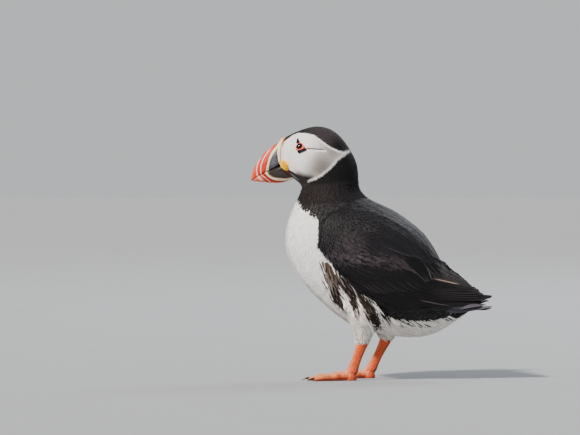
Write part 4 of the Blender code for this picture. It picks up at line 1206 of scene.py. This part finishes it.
def vane_colours(tone, root, gain, edge=None, rim=None, strength=None):
    """Colours of plumes: each feather's tone times root at its root and root + gain at its end.

    rim is where on a vane the edge's colour comes in, and strength is how much of it each feather has.
    """

    def colours(pick, along, aside):
        shade = tone[pick][:, None, None] * (root + gain * along)
        if rim is None:
            return shade
        return mixed(shade, edge, rim(along[..., 0], aside[..., 0]) * strength[pick][:, None, None])

    return colours


LID_REACH = 14 * MM  # farther from the eye's middle than any part of the lids


def stays_clear(points, root):
    """Which places are clear of the horn, the gape skin and the eyelids. A root keeps farther off."""
    away = np.array([hard_tree.find_nearest(Vector(p))[3] for p in points])
    clear = away > (0.15 if root else 0.05) * MM
    for middle, _, _, rear, upward in eye_places.values():
        off = points - middle
        inside = depth_in(np.stack([off @ rear, off @ upward], 1) / MM, RED_RIM)
        clear &= (np.linalg.norm(off, axis=1) > LID_REACH) | (inside < (-0.05 if root else 0.4))
    return clear


roots, faces, lie = rooted(belongs("head"), 0.78 * MM, 0.10)
eye_away = np.hypot(roots[:, 1] - eye_places["left"][0][1], roots[:, 2] - eye_places["left"][0][2])
back = smooth_step(-70 * MM, -25 * MM, roots[:, 1]) * smooth_step(4 * MM, 10 * MM, eye_away)
lengths = (1.9 + 0.9 * back) * MM * varied(len(roots), 0.15)
keep = stays_clear(roots, True)
for share in (0.0, 0.9):
    away, along = to_line((roots + share * lie * lengths[:, None])[:, 1:] / MM, EYE_LINE)
    keep &= (away > 0.55) | (along > 0.85)
keep &= stays_clear(roots + lie * lengths[:, None], False)
roots, faces, lie, lengths = (part[keep] for part in (roots, faces, lie, lengths))
count = len(roots)
head_tone = marking(roots + lie * 0.35 * lengths[:, None], chance.normal(0, 0.15, count))
head_tip = marking(roots + lie * 0.95 * lengths[:, None], chance.normal(0, 0.15, count))
rough = 0.08 + 0.3 * (head_tone.mean(axis=1) < 0.1)
own = (1 + rough * chance.uniform(-1, 1, count))[:, None]
head_tone, head_tip = head_tone * own, head_tip * own


def head_colours(pick, along, aside):
    """Each feather's own tone, a little darker at its root and lighter at its end."""
    root, tip = head_tone[pick][:, None, None], head_tip[pick][:, None, None]
    return mixed(root, tip, smooth_step(0.35, 0.9, along[..., 0])) * (0.92 + 0.10 * along)


plumes(
    "coat_head", roots, faces, lie, lengths, 0.22 * MM * varied(count, 0.2) + 0.06 * lengths,
    (-0.10 * MM, 0.13 * MM * varied(count, 0.3)), (0.7, 1.0, 0.25), 3, head_colours, down,
    camber=0.2,
)

# The furrow that runs back from the eye: a close row of dark feathers in it, and a white row along its edge.
row_spots = []
for side in (1, -1):
    for share in np.linspace(0, 0.85, 24):
        y, z = (np.interp(share, np.linspace(0, 1, len(EYE_LINE)), np.array(EYE_LINE)[:, k]) for k in (0, 1))
        for drop in (0.0, 1.0):
            outside = Vector((side * 0.1, y * MM, (z - drop) * MM))
            place, _, face, _ = skin_tree.ray_cast(outside, Vector((-side, 0, 0)))
            row_spots.append((*place, face, drop, share))
row_spots = np.array(row_spots)
roots, faces = row_spots[:, :3], row_spots[:, 3].astype(int)
row_white, row_share = row_spots[:, 4], row_spots[:, 5]
count = len(roots)
lie = across_lie(np.tile((0.0, 1.0, -0.04), (count, 1)), face_normal[faces])
tone = mixed(np.tile(CAP_FRONT, (count, 1)), WHITE, row_white) * varied(count, 0.06)[:, None]
plumes(
    "coat_eye_furrow", roots, faces, lie, 2.4 * MM * varied(count, 0.1),
    (0.46 - 0.24 * row_share * (1 - row_white)) * MM, (0.02 * MM, (0.12 + 0.12 * row_white) * MM),
    (0.8, 1.0, 0.3), 3, vane_colours(tone, 1.0, 0.0), down, camber=0.2,
)

# ---------------------------------------------------------------- neck feathers
# The collar: short woolly black feathers with grey-brown ends, denser and a little longer than the head's.
WOOL = linear("#5C5358")
roots, faces, lie = rooted(belongs("neck"), 0.95 * MM, 0.16)
count = len(roots)
lengths = 4.2 * MM * varied(count, 0.2)
tone = own_tones(roots + lie * 0.6 * lengths[:, None], 0.5, 0.3)
pale = chance.random(count) ** 3 * smooth_step(-5, -30, roots[:, 1] / MM)
# Black, with woolly grey ends on some.
colours = vane_colours(tone, 1.0, 0.0, WOOL, lambda along, aside: smooth_step(0.55, 1.0, along), 0.5 * pale)
plumes(
    "coat_neck", roots, faces, lie, lengths, 0.36 * MM * varied(count, 0.2),
    (-0.15 * MM, 0.8 * MM * varied(count, 0.4)), (0.7, 1.0, 0.3), 3, colours, down,
    camber=0.35,
)

# ---------------------------------------------------------------- breast, belly and flank feathers
# Long-barbed white contour feathers, whose loose ends part into points; they lie close on the breast and
# hang looser behind it.
roots, faces, lie = rooted(belongs("trunk", "tail"), 1.2 * MM, 0.13)
keep = depth_in(roots[:, 1:] / MM, BLACK_LOOP) < 1.0
roots, faces, lie = (part[keep] for part in (roots, faces, lie))
count = len(roots)
y, z = roots[:, 1] / MM, roots[:, 2] / MM
loose_place = smooth_step(-48, -26, y) * smooth_step(90, 60, z)
lengths = (6.0 + 4.0 * loose_place) * MM * varied(count, 0.2)
tone = own_tones(roots + lie * 0.7 * lengths[:, None], 0.5 + 0.7 * loose_place, 0.03)
lie = across_lie(lie + np.array((0, 0, -0.8)) * loose_place[:, None], face_normal[faces])
plumes(
    "coat_underparts", roots, faces, lie, lengths, 0.95 * MM * varied(count, 0.2),
    (-0.2 * loose_place * MM, (0.5 + 1.0 * loose_place) * MM * varied(count, 0.15)),
    (0.8, 1.0, 0.85, 0.2), 3, vane_colours(tone, 0.93, 0.07), body_feathers,
    camber=0.1, ragged=0.06,
)

# Long loose flank feathers that hang from under the wing, brown-black or white, and part into locks.
LOCK_WAVES = 12
where = belongs("trunk", "thigh_left", "thigh_right")
middle_of = face_middle / MM
edge_depth = depth_in(middle_of[:, 1:], BLACK_LOOP)
where &= (edge_depth < 2.0) & (edge_depth > -17.0) & (middle_of[:, 1] > -46) & (middle_of[:, 1] < 60)
where &= (middle_of[:, 2] < 104) & (np.abs(middle_of[:, 0]) > 12)
roots, faces, lie = rooted(where, 1.7 * MM, 0.2)
count = len(roots)
# They lean together in locks: a sum of waves along the flank.
number = np.arange(LOCK_WAVES)[:, None]
waves = np.sin((number + 1) * (roots[:, 1] / MM / 3.4) + number)
lean = (chance.normal(0, 1, LOCK_WAVES) @ waves / 9)[:, None] * np.array((0, 0.5, 0))
lie = across_lie(lie + np.array((0, 0, -1.0)) + lean, face_normal[faces])
lengths = (10.0 + 4.0 * smooth_step(-40, 0, roots[:, 1] / MM)) * MM * varied(count, 0.3)
tone = own_tones(roots + lie * 0.6 * lengths[:, None], 1.0, 0.2)
in_front = smooth_step(-26, -34, roots[:, 1] / MM)
pale = (chance.random(count) > 0.82 - 0.25 * in_front) * chance.random(count)
pale *= tone.mean(axis=1) < 0.3
# Dark or white, some dark ones with a pale brown end.
colours = vane_colours(
    tone, 0.85, 0.2, FLANK_PALE, lambda along, aside: smooth_step(0.4, 1.0, along), 0.7 * pale
)
plumes(
    "coat_flanks", roots, faces, lie, lengths, 0.6 * MM * varied(count, 0.25),
    (0.2 * MM, 1.9 * MM * varied(count, 0.35)), (0.6, 0.95, 1.0, 0.9, 0.65, 0.15), 3,
    colours, body_feathers, camber=0.3, ragged=0.05,
)

# ---------------------------------------------------------------- thigh feathers
# Hair-like white feathers that fall down the leg and end ragged over the ankle, as a cuff.
roots, faces, lie = rooted(belongs("thigh_left", "thigh_right"), 0.95 * MM, 0.14)
count = len(roots)
at_ankle = smooth_step(50, 40, roots[:, 2] / MM)
lengths = 7.0 * MM * varied(count, 0.3)
cuff = np.where(roots[:, 0] < 0, 33.9, 30.2) * MM + 3.0 * MM * chance.random(count)
lengths = np.minimum(lengths, np.maximum(roots[:, 2] - cuff, 1.5 * MM))
lie = across_lie(lie + np.array((0, 0, -3.0)) * at_ankle[:, None], face_normal[faces])
tone = own_tones(roots + lie * 0.6 * lengths[:, None], 1.0, 0.06)
plumes(
    "coat_thighs", roots, faces, lie, lengths, 0.48 * MM * varied(count, 0.25),
    (-0.2 * MM, np.minimum((1.1 + 1.2 * at_ankle) * MM * varied(count, 0.3), 0.5 * lengths)),
    (0.7, 1.0, 0.8, 0.5, 0.12), 3, vane_colours(tone, 0.8, 0.22), body_feathers,
    camber=0.3, ragged=0.08, loose=0.25 * MM,
)

# ---------------------------------------------------------------- mantle and rump feathers
# The cloak of the back: round-ended black feathers in staggered rows like shingles, each with a thin
# bluish-grey edge of painted sheen, small behind the neck and growing to 10 mm towards the rump.
# Painted sheen: the bluish-grey glint of light along the edges of black feathers.
EDGE = linear("#6C717B")
roots, faces, lie = rooted(belongs("mantle", "tail", "trunk"), 1.9 * MM, 0.12)
keep = (depth_in(roots[:, 1:] / MM, BLACK_LOOP) > 0.5) & (roots[:, 1] < 90 * MM)
roots, faces, lie = (part[keep] for part in (roots, faces, lie))
count = len(roots)
growth = smooth_step(-30, 40, roots[:, 1] / MM)
lengths = (4.6 + 5.2 * growth) * MM * varied(count, 0.15)
tone = marking(roots) * varied(count, 0.3)[:, None]
# Black, with a painted sheen on the edges and end of some.
colours = vane_colours(tone, 0.8, 0.2, EDGE, rim_of_wear_and_sheen, 0.08 + 0.6 * chance.random(count) ** 2)
plumes(
    "coat_cloak", roots, faces, lie, lengths, (1.2 + 1.0 * growth) * MM * varied(count, 0.15),
    (-0.2 * MM, (0.6 - 0.35 * growth) * MM * varied(count, 0.25)),
    (0.6, 0.85, 1.0, 1.0, 0.72, 0.2), 5, colours, cloak_feathers, camber=0.1, ragged=0.04,
)

# ---------------------------------------------------------------- wing coverts
# Small overlapping coverts over the upper part of the folded wing, worn grey-brown in a band under the
# shoulder, and long black secondaries below them.
FLIGHT_LOOP = (
    (-30, 98), (10, 94.5), (38, 89.5), (50, 82), (84, 79), (110, 76), (110, 58), (10, 58), (-30, 80),
)
ROWS_LOOP = ((-24, 95), (-4, 108), (-4, 124), (12, 140), (36, 132), (60, 108), (60, 80), (6, 74), (-24, 90))
WORN_BAND = ((-38, 110), (-20, 108.5), (5, 106.5), (34, 103.0))
WORN_EDGE = linear("#857A80")
wing_faces = belongs("wing_left", "wing_right")
in_flight = depth_in(face_middle[:, 1:] / MM, FLIGHT_LOOP) > 0
roots, faces, lie = rooted(wing_faces & ~in_flight, 1.9 * MM, 0.10)
count = len(roots)
spots = roots[:, 1:] / MM
growth = smooth_step(-40, 30, spots[:, 0]) * smooth_step(140, 115, spots[:, 1])
band = 1 - smooth_step(1.5, 9, to_line(spots, WORN_BAND)[0])
scaly = near(spots, -22, 120, 17)
lengths = (5.0 + 4.0 * growth + 2.0 * scaly) * MM * varied(count, 0.15)
halves = (1.1 + 0.7 * growth + 0.8 * scaly) * MM * varied(count, 0.15)
patch = np.sin(spots[:, 0] * 0.9 + 0.5 * spots[:, 1]) * np.sin(spots[:, 1] * 0.8 - 0.3 * spots[:, 0])
brown = np.clip(np.maximum(band, 0.8 * scaly) * (0.6 + 0.5 * patch), 0, 1)
tone = mixed(marking(roots), WORN, 0.75 * brown)
tone *= varied(count, 0.25)[:, None]
worn = 0.08 + 0.3 * brown * chance.random(count)
under_rows = smooth_step(-4, 2, depth_in(spots, ROWS_LOOP))  # they lie flat under the long feathers
# Black or worn brown, with a slightly paler rim.
colours = vane_colours(tone, 0.85, 0.15, WORN_EDGE, rim_of_wear_and_sheen, 0.5 * worn)
plumes(
    "coat_coverts", roots, faces, lie, lengths, halves,
    (-0.2 * MM, (0.55 - 0.45 * under_rows) * MM * varied(count, 0.2)),
    (0.6, 0.9, 1.0, 0.95, 0.75, 0.3), 5, colours, cloak_feathers, camber=0.1, ragged=0.04,
)

# The secondaries: long black feathers, close and flat, over the lower part of the wing.
in_flight &= face_middle[:, 1] < 84 * MM
roots, faces, lie = rooted(wing_faces & in_flight, 2.4 * MM, 0.05)
lie = across_lie(lie + np.array((0, 1.2, -0.3)), face_normal[faces])
count = len(roots)
at_tip = smooth_step(70, 80, roots[:, 1] / MM)
lengths = (15.0 - 7.0 * at_tip) * MM * varied(count, 0.2)
tone = marking(roots) * varied(count, 0.3)[:, None]
# Black, a few with a thin brown-grey edge.
colours = vane_colours(
    tone, 0.85, 0.15, WORN_EDGE, lambda along, aside: smooth_step(0.7, 1.0, np.abs(aside)),
    0.35 * chance.random(count) ** 5,
)
plumes(
    "coat_secondaries", roots, faces, lie, lengths, (2.3 - 1.2 * at_tip) * MM * varied(count, 0.12),
    (-0.2 * MM, 0.2 * MM * varied(count, 0.25)), (0.7, 0.95, 1.0, 1.0, 0.9, 0.65, 0.2), 5,
    colours, cloak_feathers, camber=0.14, ragged=0.01,
)

# ---------------------------------------------------------------- flight feathers and scapulars
# The long feathers of the folded wing, side by side in rows, each over the one below it: pointed black
# primaries that make the wing's tip, brown worn tertials, and long scapulars with bluish-grey fringes of
# painted sheen that hang from the shoulder over them. Each row runs from a line of roots to a line of tips,
# (y, z) in mm. Grey blades along the tail's lower edge are a painted highlight.
ROUND_OUTLINE = (0.55, 0.8, 0.92, 0.98, 1.0, 1.0, 0.97, 0.9, 0.78, 0.55, 0.18)
TIP_OUTLINE = (0.55, 0.85, 0.97, 1.0, 1.0, 1.0, 1.0, 1.0, 1.0, 0.97, 0.38)  # of the long primaries
BROWN, PALE_FRINGE = linear("#211A16"), linear("#B5A59C")
# Slopes at which feathers leave the skin: at the tips of wing and tail, and elsewhere.
GENTLE, STEEP = 0.45, 1.5
BLADE_ROWS = (
    # name, number, roots, tips, half width, lift of the first and the last, bow, tone, fringe, its strength
    ("primary_edge", 2, ((26, 66), (30, 67)), ((97.5, 67.8), (101.5, 69.5)), 2.5,
     (0.3, 0.5), -0.6, WING, WORN_EDGE, 0.2),
    ("primaries", 7, ((20, 71), (26, 82)), ((104.0, 70.6), (88, 78.0)), 2.8,
     (0.5, 0.9), 0.0, WING, WORN_EDGE, 0.25),
    ("tan_fringe", 1, ((39.5, 70.6),), ((66.5, 65.2),), 0.5,
     (1.0, 1.0), -0.7, linear("#665858"), PALE_FRINGE, 0.7),
    ("greater_coverts", 13, ((-18, 93), (36, 100)), ((6, 76), (58, 80)), 2.3,
     (0.5, 0.9), -1.0, WING, WORN_EDGE, 0.2),
    ("tertials", 4, ((40, 92), (48, 106)), ((82, 80.0), (86, 82.5)), 3.0,
     (0.9, 1.4), 1.2, BROWN, WORN_EDGE, 0.4),
    ("tertial_slot", 2, ((34, 113), (38, 116)), ((58, 98), (61, 101)), 1.8,
     (1.0, 1.1), 0.0, JET, JET, 0.0),
    # Lower scapulars: black, with a bluish-grey painted sheen along the lower edge and round the end.
    ("lower_scapulars", 7, ((20, 112), (34, 123)), ((47, 86), (61, 90)), 1.8,
     (0.8, 1.2), 0.0, WING, EDGE, 0.7),
    ("scapular_fringe", 1, ((46.5, 100),), ((51.5, 87.6),), 0.3,
     (1.3, 1.3), 0.0, linear("#5C575A"), PALE_FRINGE, 0.7),
    ("tertial_fringe", 1, ((50.5, 88.8),), ((79.6, 81.0),), 0.62,
     (1.7, 1.7), 0.4, linear("#85736A"), PALE_FRINGE, 0.9),
    # Scapulars and back feathers: black, with a bluish-grey painted sheen along the lower edge and round the
    # end.
    ("scapulars", 12, ((-2, 122), (26, 134)), ((32, 109), (57, 98)), 1.7,
     (0.8, 1.0), 1.0, MANTLE, EDGE, 0.6),
    ("back_feathers", 7, ((16, 138), (34, 130)), ((40, 121), (54, 107)), 1.7,
     (0.7, 0.7), 0.0, MANTLE, EDGE, 0.6),
    # A painted highlight: grey blades along the lower edge of the tail, where it catches the light.
    ("tail_edge_highlight", 2, ((60, 61.0), (64, 62.2)), ((104.6, 61.8), (99.0, 62.9)), 1.7,
     (0.6, 0.8), 0.0, linear("#58535D"), EDGE, 0.8),
)


def on_skin(spot, side):
    """The point at (y, z) in mm on one side of the skin, or level with the nearest of it."""
    y, z = spot * MM
    place = skin_tree.ray_cast(Vector((side * 0.1, y, z)), Vector((-side, 0, 0)))[0]
    place = place or skin_tree.find_nearest(Vector((side * 12 * MM, y, z)))[0]
    return np.array((place.x, y, z))


def lower_fringe(tone, fringe, strength, signs, own):
    """Colours of a row of blades: the tone, with the fringe colour along the lower edge and round the end: a
    pale fringe on some rows, a painted sheen on others.
    """

    def colours(pick, along, aside):
        low = smooth_step(0.5, 0.95, aside[..., 0] * signs[pick][:, None, None])
        low = low * smooth_step(0.25, 0.7, along[..., 0])
        rim = np.maximum(low, 0.3 * smooth_step(0.85, 1.0, along[..., 0]))
        shade = own[pick][:, None, None]
        dark_root = mixed(WING, tone, smooth_step(0.0, 0.25, along[..., 0]))
        return mixed(dark_root * shade[..., None], fringe, rim * strength * np.clip(shade - 0.45, 0, 1))

    return colours


for name, number, roots, tips, half, lift, bow, tone, fringe, strength in BLADE_ROWS:
    parts, signs = [], []
    for side in (1, -1):
        share = np.linspace(0, 1, number)
        wander = chance.normal(0, 0.2 if name.startswith("primar") else 0.6, (number, 2)) * (number > 1)
        ends = []
        for line in (roots, tips):
            places = np.array(line, float)
            marks = np.linspace(0, 1, len(places))
            picked = np.stack([np.interp(share, marks, places[:, k]) for k in (0, 1)], 1)
            ends.append(np.array([on_skin(spot, side) for spot in picked + wander]))
        steep = GENTLE if name in ("primaries", "primary_edge", "tail_edge_highlight") else STEEP
        parts.append(lines_over(*ends, len(ROUND_OUTLINE), unit(np.array((-side, 0, -0.6))), bow * MM, steep))
        signs += [side] * number
    line, up, way, faces = (np.concatenate(both) for both in zip(*parts))
    signs = np.array(signs, float)
    count = len(signs)
    lengths = np.linalg.norm(np.diff(line, axis=1), axis=2).sum(axis=1)
    lifts = np.tile(np.linspace(*lift, number), 2) * MM
    own = varied(count, 0.3)
    root_lifts = 0.7 * lifts if number == 1 else -0.2 * MM
    halves = half * MM * varied(count, 0.08)
    plumes(
        f"coat_{name}", line[:, 0], faces, way[:, 0], lengths, halves, (root_lifts, lifts),
        TIP_OUTLINE if name.startswith("primar") else ROUND_OUTLINE, 7,
        lower_fringe(tone, fringe, strength, signs, own), cloak_feathers, camber=0.12,
        ragged=0.01, spine=(line, up, way),
    )

# ---------------------------------------------------------------- tail feathers
# Sixteen short black tail feathers in a narrow fan, the middle pair on top and the outer ones rolled down
# at the sides, with thin grey edges of painted sheen. They run out of the rump under the tips of the wings.
TAIL_PAIRS = 8
fan = np.arange(-TAIL_PAIRS, TAIL_PAIRS) + 0.5
order = np.argsort(-np.abs(fan))  # outermost first
fan = fan[order]
count = len(fan)
tip_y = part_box("tail")[1].y - (0.3 + 0.055 * fan**2) * MM
sag = 0.10 * np.abs(fan) * MM
starts = np.stack([fan * 0.8 * MM, np.full(count, 72 * MM), 65.2 * MM - sag], 1)
ends = np.stack([fan * 1.35 * MM, tip_y, 61.6 * MM - 0.6 * sag], 1)
line = starts[:, None] + (ends - starts)[:, None] * np.linspace(0, 1, len(ROUND_OUTLINE))[None, :, None]
way = unit(np.gradient(line, axis=1))
up = across_lie(np.stack([fan * 0.11, np.zeros(count), np.ones(count)], 1)[:, None], way)
faces = np.array([skin_tree.find_nearest(Vector(p))[2] for p in line[:, 0]])
lengths = np.linalg.norm(ends - starts, axis=1)
lifts = (1.1 - 0.12 * np.abs(fan)) * MM
# Black, with a grey edge of painted sheen all round, wider on the outer feathers.
colours = vane_colours(
    RUMP_SIDE * varied(count, 0.25)[:, None], 1.0, 0.0, EDGE,
    lambda along, aside: np.maximum(smooth_step(0.6, 1.0, np.abs(aside)), smooth_step(0.88, 1.0, along)),
    0.5 + 0.45 * (np.abs(fan) > 5),
)
plumes(
    "coat_tail", line[:, 0], faces, way[:, 0], lengths, np.full(count, 3.0 * MM), (lifts * 0.5, lifts),
    ROUND_OUTLINE, 7, colours, cloak_feathers, camber=0.10, ragged=0.006,
    spine=(line, up, way),
)

# ---------------------------------------------------------------- the studio
# A pale matt floor under a soft sun, high on the bird's left and ahead of it, with an even pale sky all
# round and a weak light from behind that draws the dark back.
floor_mesh = bpy.data.meshes.new("floor")
bm = bmesh.new()
bmesh.ops.create_circle(bm, cap_ends=True, segments=64, radius=12.0)
bm.to_mesh(floor_mesh)
bm.free()
floor = in_scene("floor", floor_mesh)
floor_finish, tree = new_material("pale matt floor paint")
where = node(tree, "TexCoord").outputs["Object"]
mottle = node(tree, "TexNoise", {"Vector": where, "Scale": 9.0, "Detail": 3.0})
tones = node(tree, "ValToRGB", {"Fac": mottle})
filled(tones, ((0.0, "#969A9F"), (1.0, "#9CA0A5")))
matt = node(tree, "BsdfPrincipled", {"Base Color": tones, "Roughness": 0.9})
node(tree, "OutputMaterial", {"Surface": matt})
floor_mesh.materials.append(floor_finish)

MIDDLE = Vector((0.0, -70.9 * MM, 140.9 * MM))  # what the camera looks at
sun = bpy.data.lights.new("soft sun", "SUN")
sun.energy = 6.0
sun.angle = math.radians(5)
sun.color = linear("#FFF6EA")
back = bpy.data.lights.new("back light", "AREA")
back.energy = 45.0
back.size = 1.4
back.color = linear("#F2F6FF")
for lamp, place in ((sun, (2.1, -2.3, 2.9)), (back, (-2.2, 1.6, 2.2))):
    light = in_scene(lamp.name, lamp)
    light.location = place
    light.rotation_euler = (MIDDLE - light.location).to_track_quat("-Z", "Y").to_euler()

world = bpy.data.worlds.new("studio")
world.use_nodes = True
world.node_tree.nodes["Background"].inputs["Color"].default_value = (*linear("#DFE1E3"), 1)
world.node_tree.nodes["Background"].inputs["Strength"].default_value = 0.81
bpy.context.scene.world = world

CAMERA_AWAY = 4.0
CAMERA_RISE = math.radians(1.0)
lens = bpy.data.cameras.new("camera")
lens.sensor_width = 36.0
lens.lens = 36.0 * CAMERA_AWAY / 0.5046
lens.clip_end = 40.0
camera = in_scene("camera", lens)
camera.location = MIDDLE + CAMERA_AWAY * Vector((math.cos(CAMERA_RISE), 0, math.sin(CAMERA_RISE)))
camera.rotation_euler = (MIDDLE - camera.location).to_track_quat("-Z", "Y").to_euler()
bpy.context.scene.camera = camera
